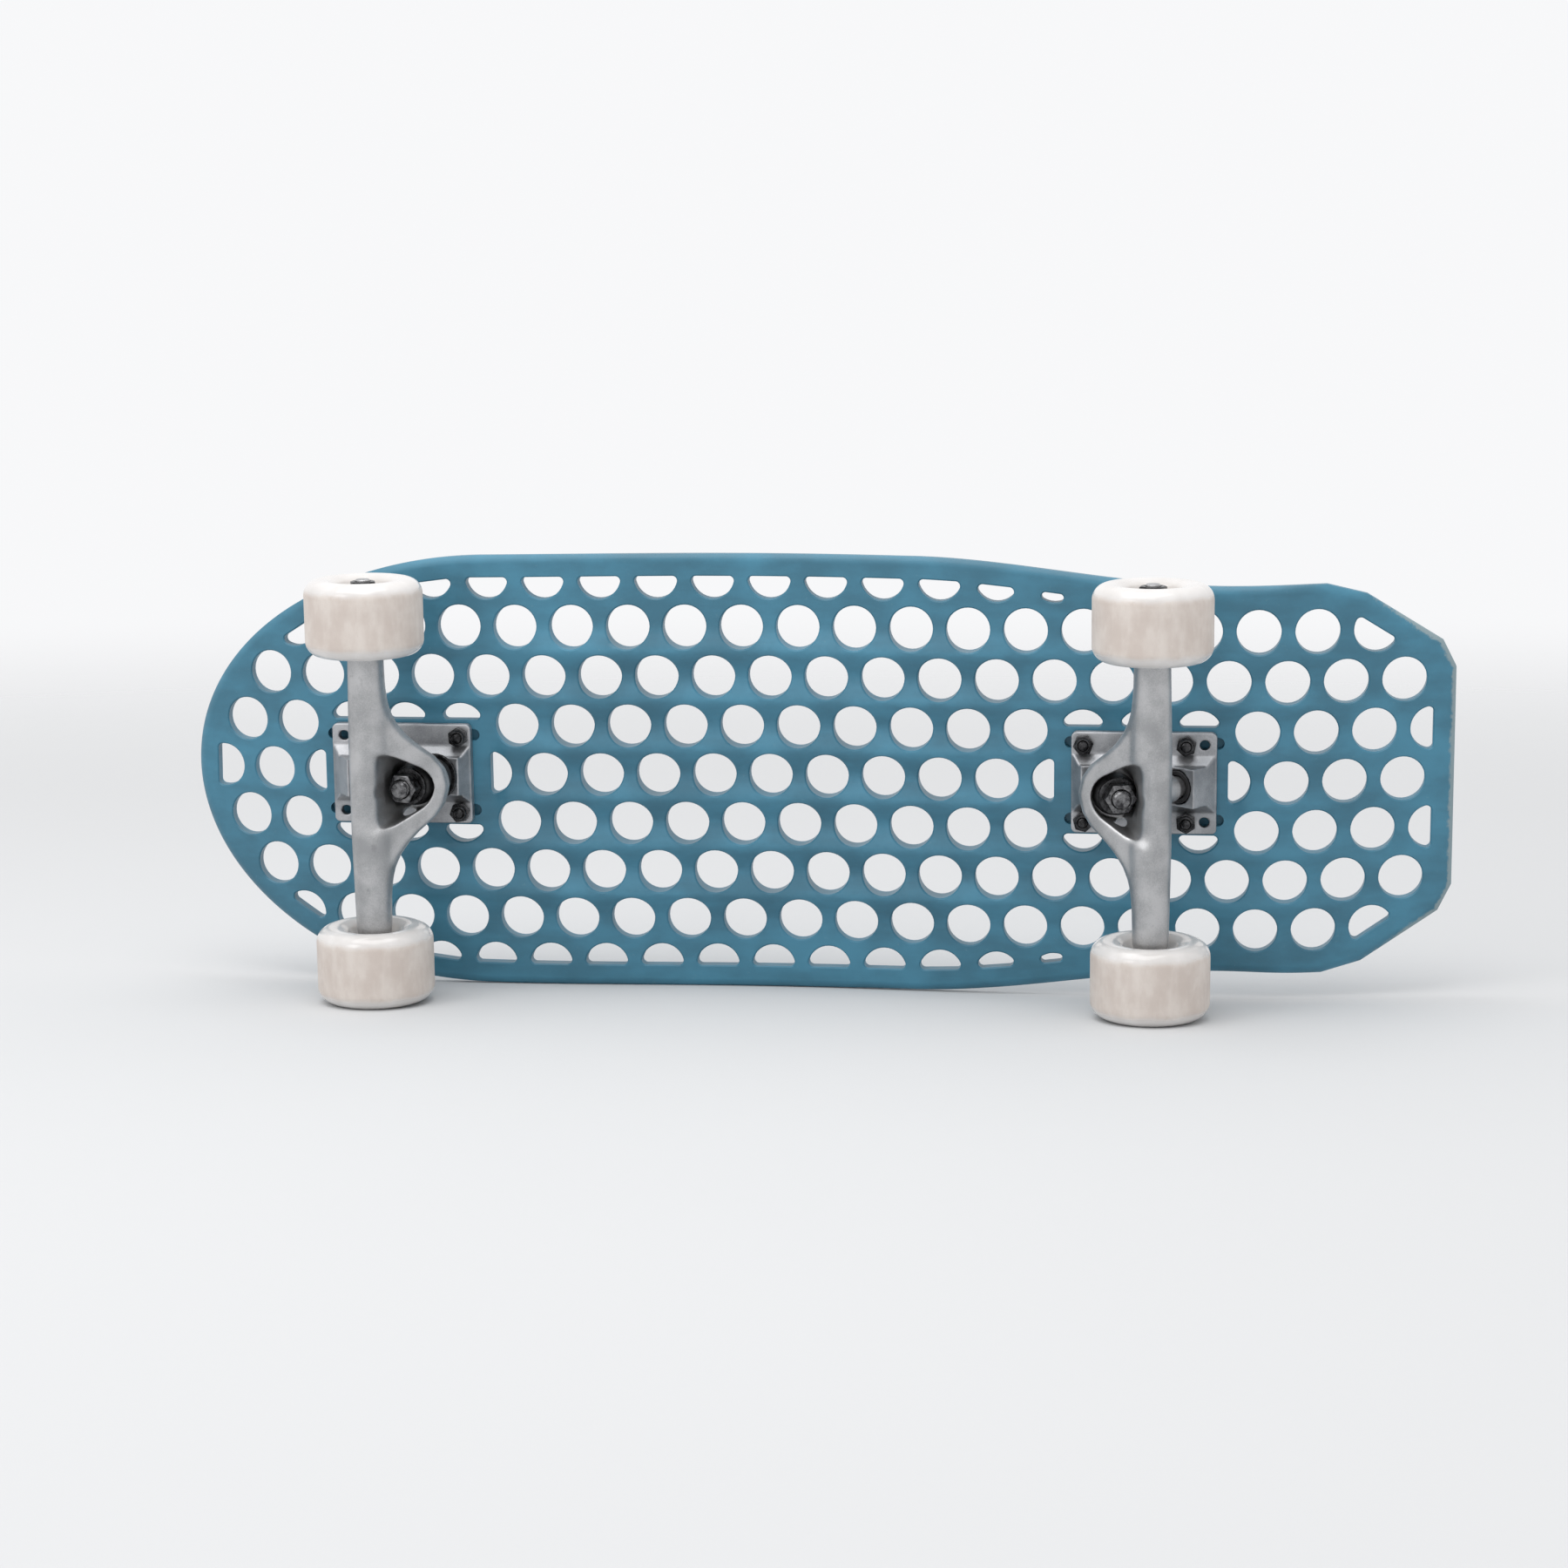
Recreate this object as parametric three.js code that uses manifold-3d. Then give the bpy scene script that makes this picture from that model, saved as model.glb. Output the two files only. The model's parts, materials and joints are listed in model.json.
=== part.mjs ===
// A moulded plastic skateboard, perforated all over, with two traditional kingpin trucks.
//
// The board is shown standing on one long edge, as it is stored or displayed. In the exported
// group +X runs from the round nose to the square tail, +Z is up, and the underside with its
// trucks faces -Y. The origin is the middle of the space it fills, on the floor.
//
// It is drawn in a board frame first: x from nose to tail, y across, z out of the underside,
// with z = 0 on the faces that the trucks are bolted to. Each truck has its own frame: x towards
// the middle of the board, z away from the deck, origin at the middle of its baseplate.

import * as THREE from "three";
import { mergeVertices } from "three/addons/utils/BufferGeometryUtils.js";
import Module from "manifold-3d";

const wasm = await Module();
wasm.setup();

// ---------------------------------------------------------------- driving dimensions, mm

// Deck
const holePitch = 30.48; // along a row; the next row is staggered by half of it
const rowPitch = 26.6;
const holeRadius = 11.7;
const rimWidth = 11.6; // solid band between the holes and the outline
const leastOpening = 4; // a cut hole narrower than this is left out
const leastCut = 2.5; // a hole that would lose less than this stays whole
const padPitches = 13; // hole pitches between the two truck pads
const padHalfWidth = 28.9;
const deckHalfWidth = 117.8;
const noseOverhang = 122.2; // from the nose pad's middle to the tip of the nose
const noseRound = 168.3; // length of the half ellipse that ends the board
const tailOverhang = 164.3; // from the tail pad's middle to the end of the tail
const sideCrown = 0.7; // the long sides swell this much between nose and taper
const waistHalfWidth = 103.2;
const tailHalfWidth = 104.2;
const taperStart = 73; // where the wide part begins to narrow, from the board's middle
const taperLength = 170;
const cornerLength = 47.4; // chamfered tail corners, along the board
const cornerDepth = 31.5; // and across it
const endBevel = 7; // small second bevel where the chamfer meets the end
const deckThickness = 8;
const ridgeHeight = 4.5; // lengthwise ridges moulded under the middle of the deck
const lowRidgeHeight = 2; // and beside and beyond the pads
const noseRidgeEnd = -240; // where they have died away, from the board's middle
const tailRidgeEnd = 325;
const ridgeFade = 50; // length over which they change height
const padMargin = 25; // they stay this far clear of the pads
const camberDepth = 7; // the middle is bowed away from the wheels
const edgeRise = 2.2; // the long edges curl towards the rider
const noseKickStart = 42; // from the pad's middle
const noseKickAngle = 14.5;
const noseKickRadius = 80;
const tailKickStart = 60;
const tailKickAngle = 15.6;
const tailKickRadius = 100;

// Truck baseplate and mounting bolts
const plateOffset = 1.8; // baseplate's middle, outwards from the pad's middle
const plateLength = 76.5;
const plateWidth = 54.4;
const plateThickness = 5.5;
const plateCorner = 3;
const boltSpacingAcross = 41.28;
const boltRowLong = 63.5; // innermost to outermost of the three holes in a row
const boltRowShort = 53.98; // innermost to middle hole
const boltRadius = 2.4;
const boltHeadRadius = 4.7;
const boltHeadHeight = 2.4;
const boltProtrusion = 1.4; // past its nut
const lockNutWidth = 9.5;
const lockNutHeight = 5.4;
const slotReach = 3.8; // blind adjustment slots in the deck show this far past the plate
const slotLength = 14;
const slotWidth = 6.4;
const slotDepth = 4;
const blockTopWidth = 21; // raised spine of the baseplate
const blockFootWidth = 31;
const blockDraft = 1.2; // how far its sides rise for each mm they lean in
const blockInset = 0.5; // its ends stop this far short of the plate's
const mouthDrop = 0.4; // the casting ends this far below the pivot cup's lip

// Kingpin stack, measured along the kingpin from the mounting face
const kingpinFoot = 23.5; // where its axis meets the mounting face, from the plate's middle
const kingpinLean = 15; // degrees, its free end leans towards the axle
const kingpinRadius = 4.76;
const kingpinHeadRadius = 7.5;
const kingpinHeadStart = 3;
const kingpinHeadHeight = 4;
const seatHeight = 11.7;
const washerThickness = 2;
const boardWasherRadius = 12.5;
const roadWasherRadius = 10;
const boardBushingHeight = 11.8;
const roadBushingHeight = 9.4;
const bushingRadius = 11.2;
const bushingTopRadius = 10;
const ringThickness = 5.6;
const ringHoleRadius = 8.5;
const ringWall = 4; // rim of the hanger round the road-side bushing
const kingpinNutWidth = 14.3;
const kingpinNutHeight = 7.6;
const kingpinProtrusion = 3.4;

// Pivot
const pivotX = -19;
const pivotZ = 13;
const pivotTilt = 50; // degrees, of the cup's axis above the mounting face
const pivotRadius = 6;
const pivotCupWall = 2.4;
const pivotCupDepth = 8.5; // behind the pivot's centre
const pivotCupLip = 2.5; // and in front of it
const stemReach = 22; // the hanger's stem, from the pivot's centre into the yoke
const stemNeck = 0.6; // it is this much thinner than its ball where it leaves the cup
const stemFlare = 3; // and this much thicker where it meets the yoke

// Hanger, axle and wheels
const axleX = -5.5;
const axleHeight = 55;
const axleRadius = 3.97;
const armRadius = 9;
const armEndRadius = 6.6;
const armEndLength = 6.5;
const armMiddle = 24; // the arm keeps its full radius this far from the centreline
const armTaper = 0.6;
const yokeHalfLength = 40; // the yoke runs this far along the axle, each way
const windowHalfLength = 20; // the opening in it, at the axle
const axleCover = 1.8; // least metal between the axle and that opening
const heelDepth = 20; // the yoke's back edge reaches this far below the axle
const heelLength = 6; // and its foot this far behind the ring
const crownHalfWidth = 2; // flat on top of the axle
const crownDrop = 0.4; // just below the arms' full radius
const wheelTrack = 92.9; // board's centreline to the middle of a wheel
const wheelRadius = 31;
const wheelWidth = 40;
const wheelLip = 8; // rounding of the tread's edges
const wheelFaceRadius = 19; // where the flat side face turns into the dish
const wheelDish = 1.5;
const hubWidth = 24; // outside to outside of the two bearings
const bearingWidth = 7;
const bearingRadius = 11;
const hubBore = 8.5;
const spacerWall = 1.5;
const axleNutWidth = 12.7;
const axleNutHeight = 6.4;
const axleProtrusion = 1.2;

// Clearances
const gap = 0.3; // between faces that rest on each other
const boreGap = 0.2; // round a pin or rod in its bore
const seatGap = 0.15; // round a bearing in its seat

// Facets
const holeSides = 8;
const noseSteps = 26;
const sideSteps = 7;
const taperSteps = 7;
const tailSteps = 3;
const wheelSides = 24;
const turnedSides = 20;
const smallSides = 10;

// ---------------------------------------------------------------- helpers

const radians = THREE.MathUtils.degToRad;
const v2 = (x, y) => new THREE.Vector2(x, y);
const v3 = (x, y, z) => new THREE.Vector3(x, y, z);
const SAFE = 40; // how far a cutting tool runs past what it cuts

// A closed geometry as a solid that can be joined and cut.
function solid(geometry) {
  const bare = geometry.index ? geometry.toNonIndexed() : geometry.clone();
  bare.deleteAttribute("normal");
  bare.deleteAttribute("uv");
  const merged = mergeVertices(bare, 1e-4);
  return new wasm.Manifold(
    new wasm.Mesh({
      numProp: 3,
      vertProperties: new Float32Array(merged.attributes.position.array),
      triVerts: new Uint32Array(merged.index.array),
    }),
  );
}

// And back to a geometry that can be drawn.
function drawn(body) {
  const mesh = body.getMesh();
  const geometry = new THREE.BufferGeometry();
  geometry.setAttribute("position", new THREE.BufferAttribute(new Float32Array(mesh.vertProperties), 3));
  geometry.setIndex(new THREE.BufferAttribute(new Uint32Array(mesh.triVerts), 1));
  const flat = geometry.toNonIndexed();
  flat.computeVertexNormals();
  return flat;
}

// A profile of [radius, height] points turned round the z axis.
function turned(profile, sides = turnedSides) {
  const points = profile.map(([r, h]) => v2(r, h));
  return new THREE.LatheGeometry(points, sides).rotateX(Math.PI / 2);
}

// A ring-shaped profile closes on itself.
const ring = (profile, sides) => turned([...profile, profile[0]], sides);

// A rod or disc of one radius from height a to height b.
const rod = (radius, a, b, sides) => turned([[0, a], [radius, a], [radius, b], [0, b]], sides);

// A bore drawn with few sides has its flats, not its corners, on the radius it must clear.
const clearing = (radius, sides) => radius / Math.cos(Math.PI / sides);

// A cutting tool for a round hole that clears a radius.
const bore = (radius, a = -SAFE, b = SAFE, sides = smallSides) =>
  rod(clearing(radius, sides), a, b, sides);

// A flat outline raised from height a to height b.
function raised(outline, a, b, bevel = 0) {
  const shape = outline instanceof THREE.Shape ? outline : new THREE.Shape(outline);
  return new THREE.ExtrudeGeometry(shape, {
    depth: b - a - 2 * bevel,
    bevelEnabled: bevel > 0,
    bevelThickness: bevel,
    bevelSize: bevel,
    bevelOffset: -bevel,
    bevelSegments: 1,
    curveSegments: 3,
  }).translate(0, 0, a + bevel);
}

// A side view, in x and z, stretched from y = -half to y = +half.
const sideways = (outline, half) => raised(outline, -half, half).rotateX(Math.PI / 2);

function roundedRectangle(length, width, corner) {
  const x = length / 2;
  const y = width / 2;
  const shape = new THREE.Shape();
  shape.moveTo(-x + corner, -y);
  shape.lineTo(x - corner, -y).absarc(x - corner, -y + corner, corner, -Math.PI / 2, 0);
  shape.lineTo(x, y - corner).absarc(x - corner, y - corner, corner, 0, Math.PI / 2);
  shape.lineTo(-x + corner, y).absarc(-x + corner, y - corner, corner, Math.PI / 2, Math.PI);
  shape.lineTo(-x, -y + corner).absarc(-x + corner, -y + corner, corner, Math.PI, 1.5 * Math.PI);
  return shape;
}

// A hexagon nut with its bore, standing on z = 0.
function hexNut(acrossFlats, height, boreRadius) {
  const corner = acrossFlats / 2 / Math.cos(Math.PI / 6);
  const around = (n, r, turn) => Array.from({ length: n }, (_, i) => {
    const a = (2 * Math.PI * i * turn) / n;
    return v2(r * Math.cos(a), r * Math.sin(a));
  });
  const shape = new THREE.Shape(around(6, corner, 1));
  shape.holes.push(new THREE.Path(around(smallSides, clearing(boreRadius, smallSides), -1)));
  return raised(shape, 0, height);
}

// The matrix that carries z onto a direction and the origin onto a place.
function along(place, direction) {
  const z = direction.clone().normalize();
  const across = Math.abs(z.y) > 0.9 ? v3(0, 0, -Math.sign(z.y)) : v3(0, 1, 0);
  const x = across.clone().cross(z).normalize();
  const y = z.clone().cross(x);
  return new THREE.Matrix4().makeBasis(x, y, z).setPosition(place);
}

const finish = (color, roughness, metalness) => ({ color, roughness, metalness });
const finishes = {
  plastic: finish(0x3f7f98, 0.5, 0),
  castAluminium: finish(0xa9abad, 0.42, 0.85),
  steel: finish(0x5c5e60, 0.35, 0.9),
  blackSteel: finish(0x1c1d1f, 0.4, 0.7),
  blackUrethane: finish(0x17181a, 0.55, 0),
  urethane: finish(0xe9e2d6, 0.35, 0),
};

const board = new THREE.Group();

function addNode(parent, name, geometry, finishName, matrix = new THREE.Matrix4()) {
  const mesh = new THREE.Mesh(geometry, new THREE.MeshStandardMaterial(finishes[finishName]));
  mesh.name = name;
  mesh.applyMatrix4(matrix);
  parent.add(mesh);
  return mesh;
}

// ---------------------------------------------------------------- deck

const padX = (padPitches * holePitch) / 2;
const padHalfLength = 1.5 * holePitch;
const noseTip = -padX - noseOverhang;
const tailEnd = padX + tailOverhang;
const noseCentre = noseTip + noseRound;
const taperEnd = taperStart + taperLength;
const cornerStart = tailEnd - cornerLength - 3 * endBevel;
const endHalfWidth = tailHalfWidth - cornerDepth - 2 * endBevel;

// A stretch of one side, its half width easing from one value to another, with a swell between.
function sideStretch(fromX, toX, fromY, toY, swell, steps) {
  return Array.from({ length: steps }, (_, i) => {
    const t = (i + 1) / steps;
    const eased = fromY + (toY - fromY) * t * t * (3 - 2 * t);
    return v2(fromX + (toX - fromX) * t, eased + swell * 4 * t * (1 - t));
  });
}

// One side of the outline, from the tip of the nose to the end of the tail.
function halfOutline() {
  const points = [];
  for (let i = 0; i <= noseSteps / 2; i++) {
    const a = (Math.PI * i) / noseSteps;
    points.push(v2(noseCentre - noseRound * Math.cos(a), deckHalfWidth * Math.sin(a)));
  }
  points.push(
    ...sideStretch(noseCentre, taperStart, deckHalfWidth, deckHalfWidth, sideCrown, sideSteps),
    ...sideStretch(taperStart, taperEnd, deckHalfWidth, waistHalfWidth, 0, taperSteps),
    ...sideStretch(taperEnd, cornerStart, waistHalfWidth, tailHalfWidth, 0, tailSteps),
    v2(tailEnd - cornerLength, tailHalfWidth - endBevel * 0.8),
    v2(tailEnd - endBevel, tailHalfWidth - cornerDepth),
    v2(tailEnd, endHalfWidth),
  );
  return points;
}

const upperSide = halfOutline();
const lowerSide = upperSide.slice(1).map((p) => v2(p.x, -p.y)).reverse();
const outline = [...lowerSide, ...upperSide];

// The line that cuts a hole short: keep the side where normal . point <= reach.
function rimCut(centre) {
  let best = { distance: Infinity };
  outline.forEach((a, i) => {
    const b = outline[(i + 1) % outline.length];
    const edge = b.clone().sub(a);
    const t = THREE.MathUtils.clamp(centre.clone().sub(a).dot(edge) / edge.lengthSq(), 0, 1);
    const foot = a.clone().addScaledVector(edge, t);
    const distance = foot.distanceTo(centre);
    if (distance < best.distance) {
      const normal = v2(-edge.y, edge.x).normalize();
      best = { distance, normal, reach: normal.dot(foot) - rimWidth };
    }
  });
  return best;
}

function padCut(centre, side) {
  const dx = centre.x - side * padX;
  const beyondX = Math.abs(dx) - padHalfLength;
  const beyondY = Math.abs(centre.y) - padHalfWidth;
  if (beyondX > beyondY) {
    const normal = v2(-Math.sign(dx) || 1, 0);
    return { normal, reach: normal.x * side * padX - padHalfLength };
  }
  return { normal: v2(0, -Math.sign(centre.y) || 1), reach: -padHalfWidth };
}

// A round hole, cut straight where it would reach into the rim or a pad; null if too little is left.
function holeOutline(centre) {
  let points = Array.from({ length: holeSides }, (_, i) => {
    const a = (-2 * Math.PI * i) / holeSides;
    return v2(centre.x + holeRadius * Math.cos(a), centre.y + holeRadius * Math.sin(a));
  });
  for (const { normal, reach } of [rimCut(centre), padCut(centre, -1), padCut(centre, 1)]) {
    const open = reach - normal.dot(centre) + holeRadius;
    if (open < leastOpening) return null;
    if (open > 2 * holeRadius - leastCut) continue;
    points = clipped(points, normal, reach);
  }
  return points;
}

function clipped(points, normal, reach) {
  const onLine = 0.01; // corners this close to the line count as on it
  const kept = [];
  points.forEach((a, i) => {
    const b = points[(i + 1) % points.length];
    const over = normal.dot(a) - reach;
    const next = normal.dot(b) - reach;
    const crosses = over * next < 0 && Math.min(Math.abs(over), Math.abs(next)) > onLine;
    if (over <= onLine) kept.push(a);
    if (crosses) kept.push(a.clone().lerp(b, over / (over - next)));
  });
  return kept;
}

// Whether a point is inside the outline, found from the half width at its place along the board.
function onDeck(centre) {
  const ahead = upperSide.findIndex((p) => p.x >= centre.x);
  if (ahead < 1) return false;
  const a = upperSide[ahead - 1];
  const b = upperSide[ahead];
  const halfWidth = a.y + ((b.y - a.y) * (centre.x - a.x)) / (b.x - a.x);
  return Math.abs(centre.y) < halfWidth;
}

function deckHoles() {
  const holes = [];
  const rows = Math.ceil(deckHalfWidth / rowPitch);
  const columns = Math.ceil(Math.max(-noseTip, tailEnd) / holePitch);
  for (let row = -rows; row <= rows; row++) {
    for (let column = -columns; column <= columns; column++) {
      const stagger = row % 2 === 0 ? 0 : holePitch / 2;
      const centre = v2(column * holePitch + stagger, row * rowPitch);
      const hole = onDeck(centre) && holeOutline(centre);
      if (hole) holes.push(hole);
    }
  }
  return holes;
}

// How far a kick has bent away at a distance past its start: an arc, then straight.
function kick(distance, radius, angle) {
  const a = radians(angle);
  const arc = radius * Math.sin(a);
  if (distance <= 0) return 0;
  if (distance < arc) return radius - Math.sqrt(radius * radius - distance * distance);
  return radius * (1 - Math.cos(a)) + (distance - arc) * Math.tan(a);
}

// Height of the mounting-face surface: flat at the pads, bowed between them, kicked past them.
function surfaceHeight(x, y) {
  const between = padX - padHalfLength;
  const bow = Math.abs(x) < between ? (camberDepth * (1 + Math.cos((Math.PI * x) / between))) / 2 : 0;
  const nose = kick(-padX - noseKickStart - x, noseKickRadius, noseKickAngle);
  const tail = kick(x - padX - tailKickStart, tailKickRadius, tailKickAngle);
  const out = Math.max(0, Math.abs(y) - padHalfWidth) / (deckHalfWidth - padHalfWidth);
  return -bow - nose - tail - edgeRise * out * out;
}

// Lengthwise ridges midway between the rows, with valleys along the rows.
function ridge(x, y) {
  const rising = (distance) => THREE.MathUtils.smoothstep(distance, 0, ridgeFade);
  const middle = rising(padX - padHalfLength - Math.abs(x));
  const height = THREE.MathUtils.lerp(lowRidgeHeight, ridgeHeight, middle);
  const ends = rising(x - noseRidgeEnd) * rising(tailRidgeEnd - x);
  const besidePad = Math.max(Math.abs(y) - padHalfWidth, Math.abs(Math.abs(x) - padX) - padHalfLength);
  const clear = rising(besidePad - padMargin);
  const inside = Math.abs(y) < 3 * rowPitch ? 1 : 0;
  return height * ends * clear * inside * Math.abs(Math.sin((Math.PI * y) / rowPitch));
}

const boltX = boltRowLong / 2;
const boltPlaces = [boltX, boltX - boltRowShort].flatMap((x) =>
  [-1, 1].map((s) => v3(x, (s * boltSpacingAcross) / 2, 0)),
);

const truckFrames = [
  { name: "nose", matrix: new THREE.Matrix4().makeTranslation(-padX - plateOffset, 0, 0) },
  {
    name: "tail",
    matrix: new THREE.Matrix4().makeRotationZ(Math.PI).setPosition(padX + plateOffset, 0, 0),
  },
];

function deckGeometry() {
  let flat = solid(raised(outline, 0, deckThickness));
  for (const hole of deckHoles()) flat = flat.subtract(solid(raised(hole, -SAFE, SAFE)));
  const plate = drawn(flat);
  const position = plate.attributes.position;
  for (let i = 0; i < position.count; i++) {
    const x = position.getX(i);
    const y = position.getY(i);
    const underside = position.getZ(i) > deckThickness / 2;
    const rise = underside ? ridge(x, y) : -deckThickness;
    position.setZ(i, surfaceHeight(x, y) + rise);
  }
  let body = solid(plate);
  const shank = clearing(boltRadius + boreGap, smallSides);
  const top = clearing(boltHeadRadius + gap, smallSides);
  const boltHole = turned(
    [
      [0, -deckThickness - SAFE],
      [top, -deckThickness - SAFE],
      [top, -deckThickness],
      [shank, boltHeadHeight - deckThickness],
      [shank, SAFE],
      [0, SAFE],
    ],
    smallSides,
  );
  const slot = raised(roundedRectangle(slotLength, slotWidth, slotWidth / 2 - 0.01), -slotDepth, SAFE);
  for (const { matrix } of truckFrames) {
    for (const place of boltPlaces)
      body = body.subtract(solid(boltHole.clone().translate(...place).applyMatrix4(matrix)));
    for (const end of [-1, 1])
      for (const side of [-1, 1]) {
        const x = end * (plateLength / 2 + slotReach - slotLength / 2);
        const cutter = slot.clone().translate(x, (side * boltSpacingAcross) / 2, 0);
        body = body.subtract(solid(cutter.applyMatrix4(matrix)));
      }
  }
  return drawn(body);
}

addNode(board, "deck", deckGeometry(), "plastic");

// ---------------------------------------------------------------- truck geometry

const lean = radians(kingpinLean);
const kingpinAxis = v3(-Math.sin(lean), 0, Math.cos(lean));
const kingpinBase = v3(kingpinFoot, 0, 0);
const kingpinFrame = along(kingpinBase, kingpinAxis);
const outwards = v3(Math.cos(lean), 0, Math.sin(lean));
const onKingpin = (s, out = 0) =>
  kingpinBase.clone().addScaledVector(kingpinAxis, s).addScaledVector(outwards, out);

const headEnd = kingpinHeadStart + kingpinHeadHeight;

// The stack from the baseplate to the free end.
const boardWasherAt = seatHeight + gap;
const boardBushingAt = boardWasherAt + washerThickness + gap;
const ringAt = boardBushingAt + boardBushingHeight + gap;
const roadBushingAt = ringAt + ringThickness + gap;
const roadWasherAt = roadBushingAt + roadBushingHeight + gap;
const kingpinNutAt = roadWasherAt + washerThickness + gap;
const kingpinEnd = kingpinNutAt + kingpinNutHeight + kingpinProtrusion;

const pivotCentre = v3(pivotX, 0, pivotZ);
const pivotAxis = v3(Math.cos(radians(pivotTilt)), 0, Math.sin(radians(pivotTilt)));
const pivotFrame = along(pivotCentre, pivotAxis);
const cupInner = pivotRadius + gap;
const cupOuter = cupInner + pivotCupWall;

const axlePlace = v3(axleX, 0, axleHeight);
const axleFrame = along(axlePlace, v3(0, 1, 0));
const boardSide = (points) => points.map(([x, z]) => v2(x, z));

function baseplateGeometry() {
  const bottom = gap;
  const top = bottom + plateThickness;
  const end = plateLength / 2;
  const seatNear = onKingpin(seatHeight, -boardWasherRadius - gap);
  const seatFar = onKingpin(seatHeight, boardWasherRadius);
  const mouth = pivotCupLip - mouthDrop;
  const mouthAt = (out) => pivotCentre.clone().addScaledVector(pivotAxis, mouth)
    .add(v3(-out * pivotAxis.z, 0, out * pivotAxis.x));
  const outer = mouthAt(cupOuter + pivotCupWall);
  const inner = mouthAt(-cupOuter - pivotCupWall);
  const blockEnd = end - blockInset;
  const inside = bottom + 1; // anywhere within the plate's thickness
  const block = boardSide([
    [-blockEnd, inside],
    [blockEnd, inside],
    [blockEnd, top],
    [seatFar.x, seatFar.z],
    [seatNear.x, seatNear.z],
    [inner.x, inner.z],
    [outer.x, outer.z],
    [-blockEnd, top],
  ]);
  const foot = blockFootWidth / 2;
  const crest = blockTopWidth / 2;
  const crestZ = top + (foot - crest) * blockDraft;
  const section = [v2(-foot, bottom), v2(foot, bottom), v2(foot, top), v2(crest, crestZ),
    v2(crest, SAFE), v2(-crest, SAFE), v2(-crest, crestZ), v2(-foot, top)];
  const drafted = raised(section, -end, end).rotateX(Math.PI / 2).rotateZ(Math.PI / 2);
  let body = solid(raised(roundedRectangle(plateLength, plateWidth, plateCorner), bottom, top));
  body = body.add(solid(sideways(block, foot)).intersect(solid(drafted)));
  const cuts = [
    bore(cupOuter + gap, -pivotCupDepth - gap, SAFE, turnedSides).applyMatrix4(pivotFrame),
    bore(kingpinRadius + boreGap).applyMatrix4(kingpinFrame),
    bore(kingpinHeadRadius + gap, -SAFE, headEnd + gap).applyMatrix4(kingpinFrame),
  ];
  for (const x of [boltX, boltX - boltRowShort, boltX - boltRowLong])
    for (const side of [-1, 1])
      cuts.push(bore(boltRadius + boreGap).translate(x, (side * boltSpacingAcross) / 2, 0));
  for (const cut of cuts) body = body.subtract(solid(cut));
  return drawn(body);
}

// The hanger in plan: arms flaring into a rounded yoke round the kingpin.
const ringCentre = onKingpin(ringAt + ringThickness / 2);
const cupRadius = bushingRadius + 1;
const yokeRadius = cupRadius + ringWall;

function yokePlan(radius, cornerX, cornerY, backX) {
  const reach = Math.hypot(ringCentre.x - cornerX, cornerY);
  const turn = Math.atan2(cornerY, cornerX - ringCentre.x) - Math.acos(Math.min(1, radius / reach));
  const steps = 8;
  const points = [v2(backX, -cornerY), v2(cornerX, -cornerY)];
  for (let i = 0; i <= steps; i++) {
    const a = -turn + (2 * turn * i) / steps;
    points.push(v2(ringCentre.x + radius * Math.cos(a), radius * Math.sin(a)));
  }
  points.push(v2(cornerX, cornerY), v2(backX, cornerY));
  return points;
}

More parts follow.
